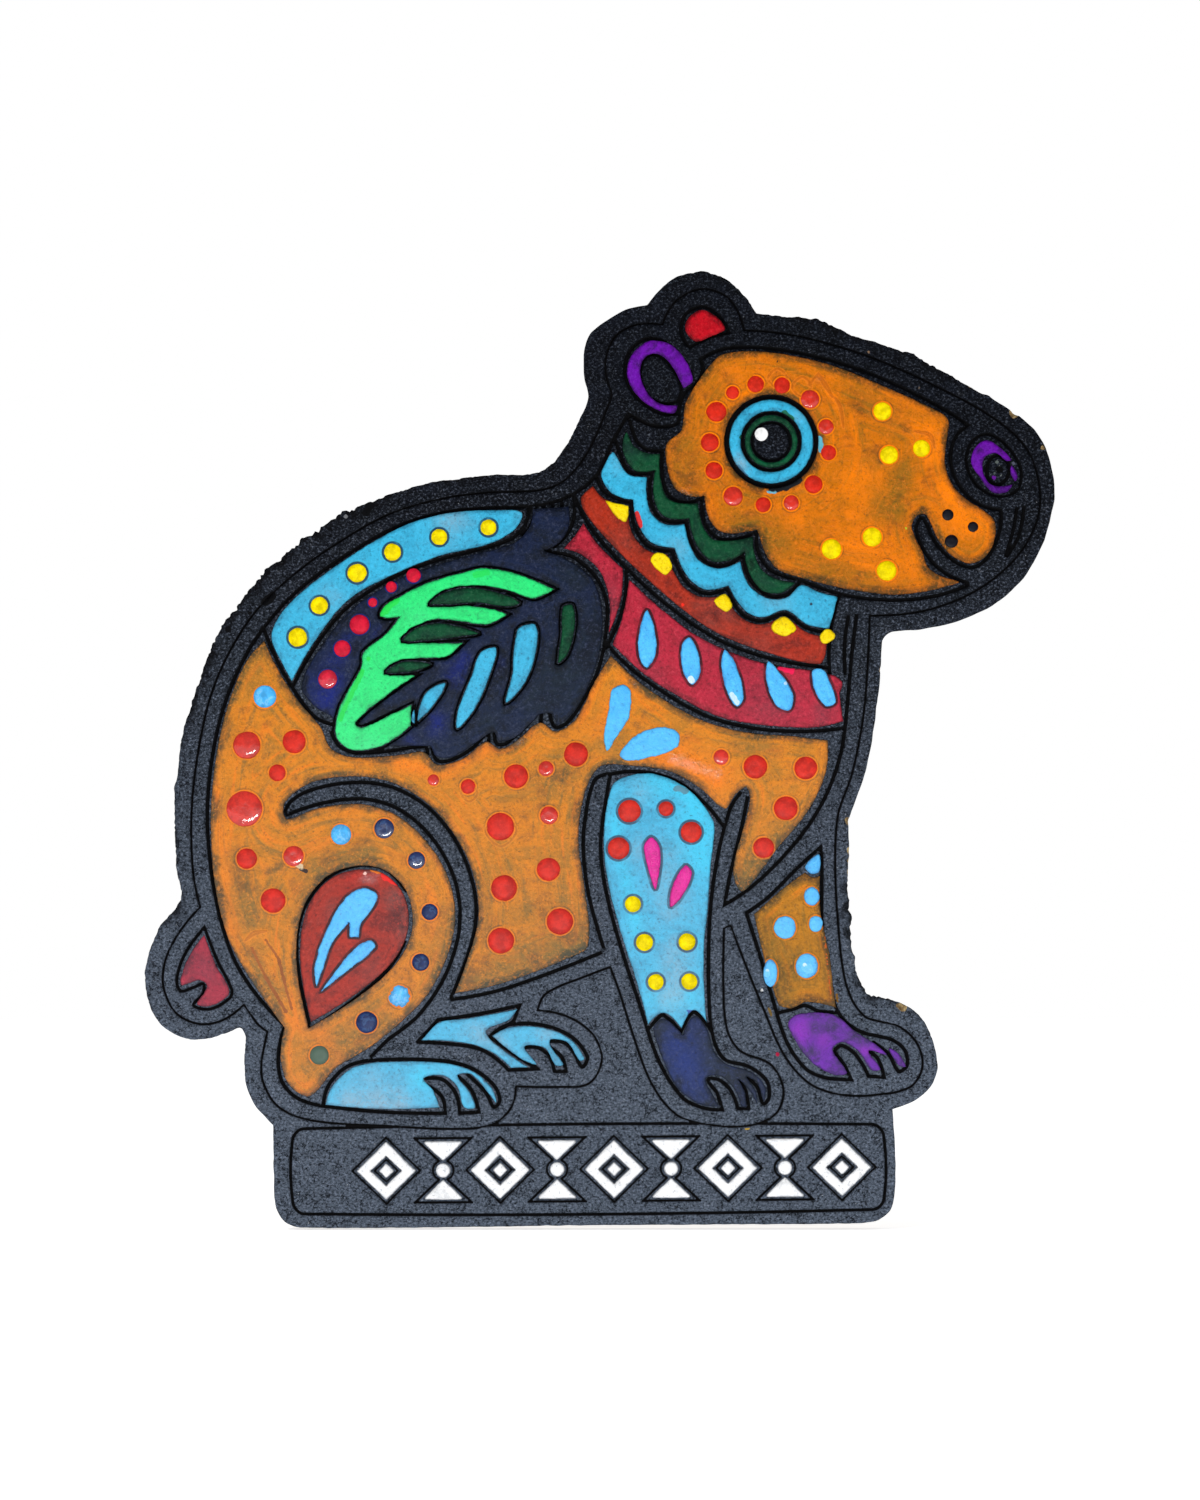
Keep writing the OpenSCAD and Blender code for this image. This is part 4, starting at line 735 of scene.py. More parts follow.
# Spots and strokes where the paint is thick, fresh and at its brightest
RICH = {
    "head_orange": [
        (29.6, 21.4, 1.8, 0.9, 31.4, 19.4), (21.4, 22.6, 1.7, 0.7), (27.0, 26.6, 1.2, 0.7, 28.0, 24.8),
        (11.4, 31.4, 1.4, 0.4), (20.8, 17.4, 1.6, 0.4, 25.6, 15.6), (16.5, 19.2, 1.2, 0.4),
    ],
    "body_orange": [
        (4.6, -0.2, 1.3, 1.0, 9.8, -2.2), (7.6, -4.4, 1.2, 0.7), (2.4, 5.2, 1.1, 0.7, 0.4, 2.0),
        (-20.0, 0.0, 0.7, 0.8, -14.0, -1.8), (-13.0, -1.6, 0.7, 0.9, -6.0, 2.0),
        (-1.8, 3.4, 0.7, 0.9, 0.3, 7.6), (-24.0, -22.5, 0.8, 0.5, -21.0, -27.0),
        (-31.8, -4.0, 0.6, 0.5, -30.8, -15.0), (-30.0, 1.0, 1.4, 0.4), (-20.6, -4.6, 1.2, 0.3),
    ],
    "foreleg_far_orange": [(17.6, -10.0, 0.8, 1.0), (17.4, -21.4, 0.9, 0.7)],
    "eye_ring_green": [(14.3, 25.9, 3.2, 0.9)],
    "haunch_leaf_red": [(-15.2, -13.2, 0.5, 0.9, -15.9, -11.6), (-20.6, -10.6, 0.8, 0.5)],
    "paw_near_navy": [(6.6, -24.4, 1.3, 1.0, 7.4, -27.6)],
    "paw_far_purple": [
        (16.6, -23.4, 0.9, 1.0), (18.6, -24.2, 0.6, 0.8), (22.0, -25.0, 0.4, 0.9, 23.0, -25.4),
    ],
    "saddle_navy": [
        (-22.9, 4.4, 1.2, 1.0, -22.6, 5.6), (-22.0, 7.4, 1.0, 0.6), (-26.0, 6.6, 0.8, 0.6),
        (-11.4, 7.3, 0.8, 0.8, -12.2, 6.2), (-13.6, 2.2, 0.9, 0.8), (-16.0, 0.8, 0.8, 0.4),
        (-8.5, 7.2, 0.6, 0.5), (-18.4, 9.6, 0.6, 0.5), (-21.0, 9.4, 0.6, 0.4),
    ],
    "hind_paw_near_blue": [(-15.0, -27.4, 1.2, 0.8)],
    "foreleg_near_blue": [
        (4.6, -2.4, 1.2, 0.9, 7.4, -3.4), (7.6, -3.6, 1.6, 0.8, 8.6, -9.0),
        (4.6, -20.8, 0.9, 0.6, 7.4, -20.6), (1.2, -6.0, 0.6, 0.7, 3.0, -15.0),
    ],
    "collar_crimson": [(7.0, 6.6, 1.4, 0.5)],
}
# Strays of other paint and crumbs that lie on a field, and painted highlights on some drops: x, z, reach,
# colour, and the stroke's other end
STRAYS_AND_GLINTS = {
    "head_orange": [
        (18.3, 26.0, 0.2, "5ca8be", 18.4, 25.0), (14.3, 21.66, 0.2, "1a1e22", 15.5, 21.84),
        (15.5, 21.84, 0.26, "1a1e22", 16.6, 22.5), (13.8, 21.5, 0.09, "6eaabe", 14.6, 21.48),
        (14.8, 32.4, 0.09, "281e18"), (22.0, 32.3, 0.09, "c4a67e"), (25.5, 18.5, 0.12, "aaba28"),
    ],
    "eye_ring_blue": [
        (15.4, 28.0, 0.26, "146046", 15.9, 27.6), (11.8, 26.1, 0.2, "105642"),
        (11.5, 23.6, 0.16, "406e8c", 12.2, 22.9),
    ],
    "scallops_blue": [(3.1, 19.7, 0.2, "c42c2c", 3.35, 18.7), (17.6, 12.2, 0.12, "1e3c50")],
    "collar_band_red": [(6.9, 12.1, 0.16, "e22818")],
    "collar_crimson": [(15.2, 6.9, 0.34, "e2124a", 15.9, 6.7), (18.2, 4.6, 0.2, "d61046")],
    "haunch_leaf_red": [
        (-19.0, -9.95, 0.22, "ec7814", -18.5, -10.1), (-18.0, -10.5, 0.3, "e22214", -17.0, -11.0),
        (-19.6, -10.3, 0.16, "ecbeb4"),
    ],
    "body_orange": [
        (-24.9, -9.95, 0.16, "342214", -24.5, -10.1), (-25.3, -9.5, 0.2, "d6bc96", -24.9, -9.7),
        (-29.05, -16.5, 0.1, "9e5612", -27.9, -18.9), (-27.9, -18.9, 0.13, "965212", -26.2, -21.8),
        (-27.9, -15.8, 0.09, "9e5612", -26.8, -17.4), (-26.8, -17.4, 0.14, "925012", -26.3, -19.4),
        (-26.3, -19.4, 0.1, "9e5612", -25.7, -21.6), (-26.9, -26.2, 0.12, "3c281a"),
        (-12.1, -11.9, 0.18, "605638"), (-31.1, -5.0, 0.09, "e25c10"),
    ],
    "foreleg_far_orange": [
        (18.75, -15.6, 0.05, "ba5410", 19.25, -20.4), (17.4, -9.3, 0.2, "f6840a", 18.1, -9.6),
    ],
    "foreleg_near_blue": [
        (1.1, -7.5, 0.08, "dcd23c"), (7.6, -22.0, 0.3, "144696"), (6.4, -3.2, 0.25, "468296", 7.2, -3.4),
    ],
    "hind_paw_near_blue": [(-13.4, -29.6, 0.18, "5a8296"), (-9.6, -27.6, 0.12, "3c6478")],
    "haunch_dots_navy": [(-23.4, -25.45, 1.6, "485c4e")],
    "leaf_green": [
        (-18.3, 11.3, 0.28, "12ce46", -17.0, 12.5), (-19.8, 6.6, 0.2, "10cc44", -21.7, 2.6),
        (-19.3, 7.6, 0.2, "12ce46"), (-10.4, 14.6, 0.25, "18ce54", -9.4, 14.8),
    ],
    # On these drops: paler bumps with whitish middles, which are painted highlights
    "foreleg_far_dots_blue": [
        (17.3, -18.2, 0.42, "60bef6"), (17.1, -17.9, 0.18, "c4e2fa"), (17.5, -18.3, 0.13, "96d0fa"),
        (13.9, -18.6, 0.3, "62c0f6"), (13.95, -18.4, 0.14, "b4dafa"),
    ],
    # On these drops: whitish spots, which are painted highlights
    "collar_drops_blue": [
        (7.6, 5.8, 0.3, "c4e0f8"), (11.0, 4.6, 0.22, "badaf6", 11.4, 4.0), (15.5, 5.6, 0.14, "aad4f6"),
    ],
    "board": [
        (-19.5, 19.8, 0.32, "06070a", -19.2, 20.4), (-28.0, 12.3, 0.34, "06070a", -27.3, 12.9),
        (-27.7, 14.8, 0.25, "06070a"), (-31.0, 10.1, 0.3, "07080b"), (-21.2, 19.5, 0.16, "686a6e"),
        (-29.2, 11.4, 0.16, "07080b"), (-28.6, -19.3, 0.17, "2cb05c"), (14.8, -25.4, 0.13, "a01e3e"),
        (13.5, -20.0, 0.12, "ced0d2"), (14.3, -22.1, 0.1, "6e5830", 14.1, -21.6),
        (19.75, -20.4, 0.08, "78582c", 19.8, -21.1), (-18.9, -24.1, 0.15, "603e28", -18.3, -23.9),
        (-25.3, -19.9, 0.1, "961e1e"), (-17.5, -29.9, 0.1, "6e3c2c"),
        (12.1, -31.6, 0.05, "aa8c32", 12.4, -31.6), (0.4, 3.8, 0.1, "d68018", 0.7, 3.2),
        (33.1, 24.0, 0.13, "545c5a"), (33.35, 23.75, 0.08, "787e7a"), (33.3, 23.4, 0.32, "030405"),
        (32.9, 23.1, 0.12, "464e4e"), (33.45, 22.9, 0.09, "5c6260"), (32.85, 22.7, 0.17, "581480"),
        (34.5, 23.9, 0.1, "4a4e5c"), (22.4, 33.2, 0.12, "78604a"), (26.6, 30.2, 0.1, "584c42"),
        (27.0, 21.0, 0.14, "c66e14"),
    ],
}
# Drops whose outline has run, as x, z and unevenness
SPILT = [(-16.7, -20.55, 0.3), (-33.4, -2.2, 0.05)]
# Places of the drops that dried glossy; the others are satin
GLOSSY = [
    (-29.5, 0.4), (-25.5, -8.8), (-22.7, 5.9), (-14.0, -2.4), (-4.6, -1.4), (-4.4, -5.2), (11.1, 21.2),
    (17.5, 29.4), (15.9, 20.6), (10.0, -0.5), (-29.6, -4.9), (-18.0, -6.2), (-15.4, -8.9), (-15.0, -13.4),
    (32.4, 18.6), (31.0, 19.6), (31.0, 16.6), (33.0, 17.6), (-30.4, 4.6), (-24.4, 7.6), (-21.4, 9.6),
    (13.3, 26.4), (17.9, 24.9), (19.0, 27.0),
]
# Soft spots where the paint dried wet and shiny
WET = {
    "head_orange": [
        (7.2, 21.4, 0.5, 1.0), (28.2, 26.5, 0.3, 0.4), (18.2, 31.0, 0.4, 0.3), (30.2, 20.6, 0.6, 0.3),
        (8.8, 19.6, 0.4, 0.4),
    ],
    "body_orange": [
        (6.0, -0.6, 0.5, 0.8, 9.8, -2.0), (-6.9, 0.9, 0.5, 0.9), (0.6, 2.2, 0.4, 0.6),
        (-10.4, 1.2, 0.4, 0.6), (3.0, 5.6, 0.5, 0.5),
    ],
    "haunch_leaf_red": [(-19.3, -10.5, 0.7, 0.9)],
}
# How far a brush strayed from a field's outline, and how strongly its paint swells, where not as usual
RAGGED = {
    "leaf_green": 0.09, "shoulder_strokes_blue": 0.12, "haunch_leaf_strokes_blue": 0.09,
    "collar_dots_yellow": 0.09, "collar_drops_blue": 0.07, "collar_crimson": 0.06,
    "foreleg_far_dots_blue": 0.07, "tail_crimson": 0.07,
}
SWELL = {"head_orange": 0.42, "body_orange": 0.42, "foreleg_far_orange": 0.4, "collar_drops_blue": 0.35}
# Thin raised marks left in wet paint, as closed loops
SCARS = {
    "head_orange": [
        [(15.6, 31.0), (14.8, 31.8), (14.0, 31.0), (14.8, 30.2)],
        [(17.6, 30.3), (16.9, 31.1), (16.0, 30.3), (16.8, 29.5)],
        [(19.4, 29.4), (19.0, 30.3), (18.2, 31.4), (17.4, 30.4), (18.1, 31.1), (18.8, 30.2)],
        [(20.3, 26.9), (20.1, 28.6), (19.6, 29.4), (20.0, 28.5)],
        [(26.2, 26.6), (27.4, 26.2), (27.9, 25.2), (27.6, 26.3)],
    ],
    "body_orange": [
        [(-10.2, -3.6), (-10.9, -2.9), (-11.6, -3.6), (-10.9, -4.3)],
        [(-6.95, -6.75), (-8.25, -5.45), (-9.55, -6.75), (-8.25, -8.05)],
        [(-29.6, -15.9), (-28.9, -15.2), (-27.8, -15.1), (-28.8, -15.4)],
    ],
}
# Points keep this clear of an outline or a scar, and this clear of a mark, outside it and inside it
EDGE_CLEAR = 0.24
MARK_CLEAR, MARK_CLEAR_INSIDE = 0.5, 0.2
# Height as a share, distance and width in mm of the swollen rim, of the bank round a mark, and of a scar
SWOLLEN_RIM = (0.16, 0.22, 0.12)
BANK = (0.4, 0.08, 0.06)
SCAR_RIDGE = (0.7, 0.0, 0.07)
# How much paint swells, and how far its outline strays, where nothing else is said
USUAL_SWELL = 0.25
USUAL_RAGGED = 0.04


def away_from(spot, end, places):
    """Distance of each place from a spot, or from the stroke between a spot and its end."""
    start = np.array(spot, float)
    along = np.array(end if len(end) else spot, float) - start
    share = np.clip((places - start) @ along / max(along @ along, 1e-9), 0, 1)
    return np.linalg.norm(places - start - share[:, None] * along, axis=1)


def soft_spots(spots, places):
    """The strongest soft spot or stroke at each place, with uneven rims."""
    total = np.zeros(len(places))
    if not spots:
        return total
    uneven = 1 + np.array([0.3 * wander(u, w, 0.8, 4.0) + 0.2 * wander(u, w, 2.0, 8.0) for u, w in places])
    for x, z, reach, strength, *end in spots:
        away = away_from((x, z), end, places) / reach
        total = np.maximum(total, strength * np.exp(-((away * uneven) ** 2)))
    return total


def strays_and_glints(node, places):
    """How far each place is covered by a stray of other paint or a painted highlight, and its colour."""
    share = np.zeros(len(places))
    colour = np.zeros((len(places), 4))
    for x, z, reach, tint, *end in STRAYS_AND_GLINTS.get(node, ()):
        uneven = 1 + np.array([0.45 * wander(u, w, 2.4, x) for u, w in places])
        cover = 1 / (1 + (away_from((x, z), end, places) / reach * uneven) ** 6)
        over = cover > share
        share[over] = cover[over]
        colour[over] = srgb(tint)
    return {"stray_or_glint": share, "stray_or_glint_colour": colour}


def fine_points(node):
    """Closely spaced loose points round a node's strays and painted highlights."""
    found = [np.zeros((0, 2))]
    for x, z, reach, _, *end in STRAYS_AND_GLINTS.get(node, ()):
        ends = np.array([(x, z), end or (x, z)], float)
        margin = reach + 0.2
        box = np.array([ends.min(axis=0) - margin, ends.max(axis=0) + margin])
        points = scattered([box], FINE_SPACING, 6)
        found.append(points[away_from((x, z), end, points) < margin])
    return np.concatenate(found)


def roughened(ring, amount, seed):
    """The outline with a brush's small unevenness."""
    wobble = [0.6 * wander(x, z, 1.3, seed) + 0.6 * wander(x, z, 3.6, seed + 3) for x, z in ring]
    return ring + inward(ring) * (amount * np.array(wobble))[:, None]


def circle(x, z, r):
    turns = max(16, round(2 * math.pi * r / MARK_STEP))
    angles = np.arange(turns) * 2 * math.pi / turns
    return np.stack([x + r * np.cos(angles), z + r * np.sin(angles)], axis=1)


def marks_of(nodes):
    """Outlines of whatever lies on a film: dots as circles, second coats as they are."""
    rings = []
    for node in nodes:
        if "dots" in node and not node.startswith(("collar", "foreleg_far", "muzzle")):
            rings += [circle(*dot) for dot in dots_of(node)]
        else:
            rings += [rounded(ring, MARK_STEP) for ring in outlines(node, depths(node)[1])]
    return rings


def round_marks(marks, rings, reach, spread):
    """Points in even bands round the marks, and the loose points that are clear of them."""
    near = Reach(marks)
    clear = near.all(spread)
    spread = spread[(clear > MARK_CLEAR) | (within(marks, spread) & (clear > MARK_CLEAR_INSIDE))]
    bands = []
    for out in MARK_BANDS:
        for ring in marks:
            around = ring - inward(ring) * out
            around = around[within(rings, around)]
            bands += [p for p in around if reach(p) > 0.1 and near(p) > out * 0.85 - 0.01]
    return near, np.array(bands).reshape(-1, 2), spread


def film_points(node, rings, reach, on_top, seed):
    """Loose points all over a film, closer along its edge, marks and scars, and how far the last two are."""
    loose = [beside(rings, 0.05, reach), beside(rings, 0.15, reach)]
    spread = np.concatenate([scattered(rings, FILM_SPACING, seed), fine_points(node)])
    spread = spread[within(rings, spread)]
    halo_of, scar_of = None, None
    if on_top:
        halo_of, bands, spread = round_marks(marks_of(on_top), rings, reach, spread)
        loose.append(bands)
    if node in SCARS:
        scars = [rounded(np.array(points), MARK_STEP, sharp=100) for points in SCARS[node]]
        scar_of = Reach(scars)
        spread = spread[scar_of.all(spread) > EDGE_CLEAR]
        lines = [ring + inward(ring) * off for ring in scars for off in (-0.1, 0.0, 0.1)]
        loose.append(np.array([p for p in np.concatenate(lines) if not halo_of or halo_of(p) > 0.45]))
    spread = spread[reach.all(spread) > EDGE_CLEAR]
    return np.concatenate([*loose, spread]), halo_of, scar_of


def hump(x, high, at, wide):
    """High where x is at a value, falling smoothly on both sides."""
    return high * np.exp(-(((x - at) / wide) ** 2))


def film_piece(node, look, on_top, seed):
    """A field of paint with a rounded edge, brushed relief, and a small bank round each mark on it."""
    back, front = depths(node)
    uneven = RAGGED.get(node, USUAL_RAGGED)
    rings = [roughened(rounded(ring, FILM_STEP), uneven, seed) for ring in outlines(node, front)]
    reach = Reach(rings)
    loose, halo_of, scar_of = film_points(node, rings, reach, on_top, seed)
    places, faces, went = filled(rings, loose)
    inset = reach.all(places)
    inset[went] = 0.0
    halo = halo_of.all(places) if halo_of else np.ones(len(places))
    scar = scar_of.all(places) if scar_of else np.ones(len(places))
    relief = [0.6 * wander(x, z, 0.7, seed) + 0.5 * wander(x * 0.6, z, 1.9, seed + 5) for x, z in places]
    height = (front - back) * (1 - np.exp(-inset / FILM_ROUNDING))
    height = height * (1 + SWELL.get(node, USUAL_SWELL) * np.array(relief) + hump(inset, *SWOLLEN_RIM))
    height += np.minimum(inset, 0.1) * hump(halo, *BANK)
    height += np.minimum(inset, 0.1) * hump(scar, *SCAR_RIDGE)
    spots = {"wash": WASHES, "wet": WET, "rich": RICH}
    values = {"inset": np.minimum(inset, 4.0), "halo": np.minimum(halo, 1.0), "scar": np.minimum(scar, 1.0)}
    values |= {key: soft_spots(table.get(node, ()), places) for key, table in spots.items()}
    top = np.stack([places[:, 0], back + height, places[:, 1]], axis=1)
    faces = np.concatenate([faces, underside(rings, went)]).tolist()
    make_piece(node + "_paint", top, faces, [look], [node], values | strays_and_glints(node, places))


def underside(rings, went):
    """Flat triangles that close a film from behind, through its outline points only."""
    corners, triangles, own = filled(rings, [], to_front=False)
    match = np.zeros(len(corners), int)
    match[own] = went
    return match[triangles]


# ---------- drops of paint ----------
DOME_RINGS = (1.0, 0.985, 0.94, 0.86, 0.74, 0.58, 0.4, 0.2)
DROP_TURNS = 44
DROP_SINK = 0.07
DROP_TALLEST = 0.3
DROP_RISE_SHARE = 0.28


def one_drop(draw, x, z, r, foot, uneven):
    """The places of one domed drop, from its sunken foot to its top, each with how far it rises."""
    tall = min(DROP_RISE_SHARE * r, DROP_TALLEST) * draw.uniform(0.75, 1.1)
    dent = draw.choice((0.0, 0.0, 0.12, 0.2))
    lean, lean_to = draw.uniform(0.0, 0.12), draw.uniform(0, 2 * math.pi)
    mood = draw.uniform(0, 50)
    places, rise = [], []
    for level in (None,) + DOME_RINGS:
        for k in range(DROP_TURNS):
            a = 2 * math.pi * k / DROP_TURNS
            out = r * (1 + uneven * noise.noise((math.cos(a) * 1.3, math.sin(a) * 1.3, mood)))
            out += r * uneven * 0.7 * noise.noise((math.cos(a) * 3.5, math.sin(a) * 3.5, mood + 9))
            if level is None:
                places.append((x + out * math.cos(a), foot - DROP_SINK, z + out * math.sin(a)))
                rise.append(0.0)
                continue
            high = (1 - level**4.0) ** 0.7 - dent * math.exp(-((level / 0.4) ** 2))
            high = max(high * (1 + lean * level * math.cos(a - lean_to)), 0.0)
            places.append((x + out * level * math.cos(a), foot + tall * high, z + out * level * math.sin(a)))
            rise.append(high)
    return places + [(x, foot + tall * (1 - dent), z)], rise + [1 - dent]


def drop_piece(node, look, seed, uneven):
    """Every dot of a node as a slightly uneven dome, in one piece."""
    foot = depths(node)[0]
    draw = random.Random(seed)
    places, faces, rise, lot = [], [], [], []
    for x, z, r in dots_of(node):
        spill = max([uneven] + [more for u, w, more in SPILT if math.hypot(x - u, z - w) < 0.4])
        start = len(places)
        new_places, new_rise = one_drop(draw, x, z, r, foot, spill)
        gloss = draw.uniform(0.55, 1.0)
        if any(math.hypot(x - u, z - w) < 0.5 for u, w in GLOSSY):
            gloss = draw.uniform(0.0, 0.15)
        places += new_places
        rise += new_rise
        lot += [gloss] * len(new_places)
        faces += tube_faces(start, len(DOME_RINGS) + 1, DROP_TURNS)
        last, top = start + len(DOME_RINGS) * DROP_TURNS, len(places) - 1
        faces += [(last + k, last + (k + 1) % DROP_TURNS, top) for k in range(DROP_TURNS)]
        faces.append(tuple(start + k for k in reversed(range(DROP_TURNS))))
    values = {"rise": rise, "lot": lot, **strays_and_glints(node, np.array(places)[:, [0, 2]])}
    make_piece(node + "_drops", places, faces, [look], [node], values)


# ---------- board ----------
# Places where the black face has chipped off the cut edge: x, z, reach along it and depth into it, in mm
CHIPS = [
    (34.55, 28.1, 0.55, 0.5), (20.75, -5.9, 0.45, 0.4), (20.85, -8.4, 0.35, 0.15),
    (20.85, -9.3, 0.4, 0.15), (20.8, -10.2, 0.3, 0.15), (23.5, 6.7, 0.3, 0.25), (25.2, -21.4, 0.55, 0.2),
    (-28.7, 14.5, 0.3, 0.2), (30.9, 30.4, 0.25, 0.15), (36.9, 25.2, 0.2, 0.15),
]
# Stretches of the cut edge that are torn and charred: x, z, reach and roughness
TORN = [
    (-32.5, 6.0, 5.5, 1.0), (-28.5, 13.5, 5.5, 1.2), (-21.5, 19.0, 5.5, 1.1), (-12.0, 22.5, 4.0, 0.5),
    (20.0, 36.0, 6.0, 0.7), (27.0, 33.0, 4.5, 0.7), (10.0, 39.5, 4.0, 0.4), (-35.5, -8.0, 4.0, 0.5),
    (-35.0, -13.5, 2.5, 0.8), (21.2, -14.0, 3.5, 0.9), (23.0, -20.0, 2.5, 0.8), (26.5, -23.0, 2.0, 0.4),
    (-37.0, -20.0, 3.0, 0.3), (-3.5, 24.0, 3.0, 0.4), (-31.0, -24.5, 2.5, 0.4),
]
# Small hard burrs that stand out from the cut edge: x, z, width and height
BURRS = [
    (26.0, 33.2, 0.4, 0.22), (23.0, 34.3, 0.5, 0.15), (29.4, 31.7, 0.4, 0.14), (32.4, 29.6, 0.35, 0.12),
    (17.8, 36.4, 0.6, 0.15), (-21.6, 19.9, 0.5, 0.25), (-24.9, 17.7, 0.4, 0.2), (-27.8, 15.1, 0.4, 0.25),
    (-31.3, 10.4, 0.45, 0.25), (-35.2, -3.2, 0.5, 0.2), (-35.7, -13.9, 0.25, 0.3),
    (-37.0, -19.2, 0.3, 0.12), (21.1, -14.0, 0.4, 0.25), (21.4, -17.2, 0.35, 0.2), (22.2, -19.6, 0.5, 0.2),
    (37.6, 21.0, 0.4, 0.1),
]
GROOVE_SHOULDER = 0.11
GROOVE_CLEAR = 0.17


def closeness(x, z, u, w, reach):
    """1 at the place u, w, and falling smoothly round it."""
    return math.exp(-((math.hypot(x - u, z - w) / reach) ** 2))


def torn_at(x, z):
    """How torn and charred the cut edge is near a place."""
    return max(rough * closeness(x, z, u, w, far) for u, w, far, rough in TORN)


def ragged(ring):
    """The cut outline, uneven as charred fibre board is, with torn stretches, chips and burrs."""
    pull = []
    for x, z in ring:
        slow = 0.5 + wander(x, z, 1.0, 2.0)
        sharp = abs(wander(x, z, 2.4, 7.0)) + 0.5 * abs(wander(x, z, 5.0, 5.0))
        inset = 0.03 + 0.04 * slow + 0.02 * sharp + torn_at(x, z) * (0.1 * slow + 0.3 * sharp)
        for u, w, wide, high in BURRS:
            inset -= high * closeness(x, z, u, w, wide)
        share, deep = chip_at(x, z)
        pull.append(min(max(inset, -0.2), 0.42) + 0.25 * share * deep)
    return ring + inward(ring) * np.array(pull)[:, None]


def chip_at(x, z):
    """How far a place lies in a chip, from 0 to 1, and how deep that chip goes."""
    best, depth = 0.0, 0.0
    for cx, cz, size, deep in CHIPS:
        away = math.hypot(x - cx, z - cz) / size
        share = min(1.0, max(0.0, 1 - away + 0.4 * wander(x, z, 2.6, 11.0)))
        if share * deep > best * depth:
            best, depth = share, deep
    return best, depth


def board_points(cut, lines, grooves, rim):
    """Loose points of the face: beside grooves and the cut edge, close ones in chips, and all over."""
    loose = []
    for ring in lines:
        for distance in (GROOVE_SHOULDER, -GROOVE_SHOULDER):
            for p in ring + inward(ring) * distance:
                if grooves(p) > GROOVE_SHOULDER * ROOM and rim(p) > 0.1:
                    loose.append(p)
    loose += [p for p in beside([cut], 0.14, rim) if grooves(p) > 0.1]
    spread = [scattered([cut], 0.52, 4)]
    for cx, cz, size, _ in CHIPS:
        box = np.array([(cx - size, cz - size), (cx + size, cz + size)])
        spread.append(scattered([box], MARK_STEP, 6))
    spread = np.concatenate([*spread, fine_points("board")])
    spread = spread[within([cut], spread)]
    loose += [p for p in spread if grooves(p) > GROOVE_CLEAR and rim(p) > 0.2]
    loose += [p for p in beside([cut], 0.45, rim) if grooves(p) > GROOVE_CLEAR]
    return loose


def board_piece():
    back, front = depths("board")
    levels = outlines("board", front)
    outer = max(levels, key=lambda ring: np.ptp(ring[:, 0]) * np.ptp(ring[:, 1]))
    cut = ragged(rounded(outer, 0.2))
    lines = [rounded(ring, 0.24) for ring in levels if ring is not outer]
    grooves, rim = Reach(lines), Reach([cut])
    places, triangles, area, went = triangulated([cut, *lines], board_points(cut, lines, grooves, rim))
    middles = area_middles(places, triangles, area)
    outside = ~within([cut], middles)
    engraved = ~within([cut, *lines], middles) & ~outside
    keep = ~outside[area]
    triangles, area = triangles[keep], area[keep]
    sunk, flat = np.zeros(len(places), bool), np.zeros(len(places), bool)
    sunk[triangles[engraved[area]].reshape(-1)] = True
    flat[triangles[~engraved[area]].reshape(-1)] = True
    depth, values = face_levels(places, sunk, flat, front, grooves, rim)
    top = np.stack([places[:, 0], depth, places[:, 1]], axis=1).tolist()
    faces = (triangles[:, ::-1] if facing_back(places, triangles) else triangles).tolist()
    looks = [0] * len(faces)
    below = board_edge(top, faces, looks, cut, went[: len(cut)], back, front, values)
    board_back(top, faces, looks, below, back, values)
    values["char"] += [0.0] * (len(top) - len(places))
    values |= strays_and_glints("board", np.array(top)[:, [0, 2]])
    materials = [board_face_look(), board_edge_look(), board_back_look()]
    make_piece("board_cut", top, faces, materials, ["board"], values, looks)


def face_levels(places, sunk, flat, front, grooves, rim):
    """The depth of each point of the face, and how sooty, bare and charred it is there."""
    groove_depth = front - depth_of_floor("board", front)
    depth, soot, bare, char = [], [], [], []
    for i, (x, z) in enumerate(places):
        share, deep = chip_at(x, z)
        if sunk[i] and not flat[i]:
            near = min(1.0, grooves((x, z)) / GROOVE_SHOULDER)
            depth.append(front - groove_depth * (0.35 + 0.6 * near))
            soot.append(1.0)
        else:
            relief = 0.018 * wander(x, z, 1.7) + 0.012 * wander(x, z, 4.1, 4.0) - 0.02
            depth.append(front + relief - (0.03 if sunk[i] else 0.0) - share * deep * 0.8)
            soot.append(0.6 if sunk[i] else 0.0)
        bare.append(min(1.0, share * 2.2) if deep else 0.0)
        char.append(min(1.0, 0.2 + torn_at(x, z)) * math.exp(-rim((x, z)) / 0.8))
    return depth, {"soot": soot, "bare": bare, "char": char}


def depth_of_floor(node, front):
    """Depth of the engraved floor, which is the flat level next behind the face."""
    places, _ = corners_and_triangles(node)
    levels = np.unique(np.round(-places[:, 1], 3))
    return levels[levels < front - 0.01][-1]


RIM_LEVELS = (0.16, 0.5, 0.85, 1.2, 1.6, 2.1, 2.6, 3.0)


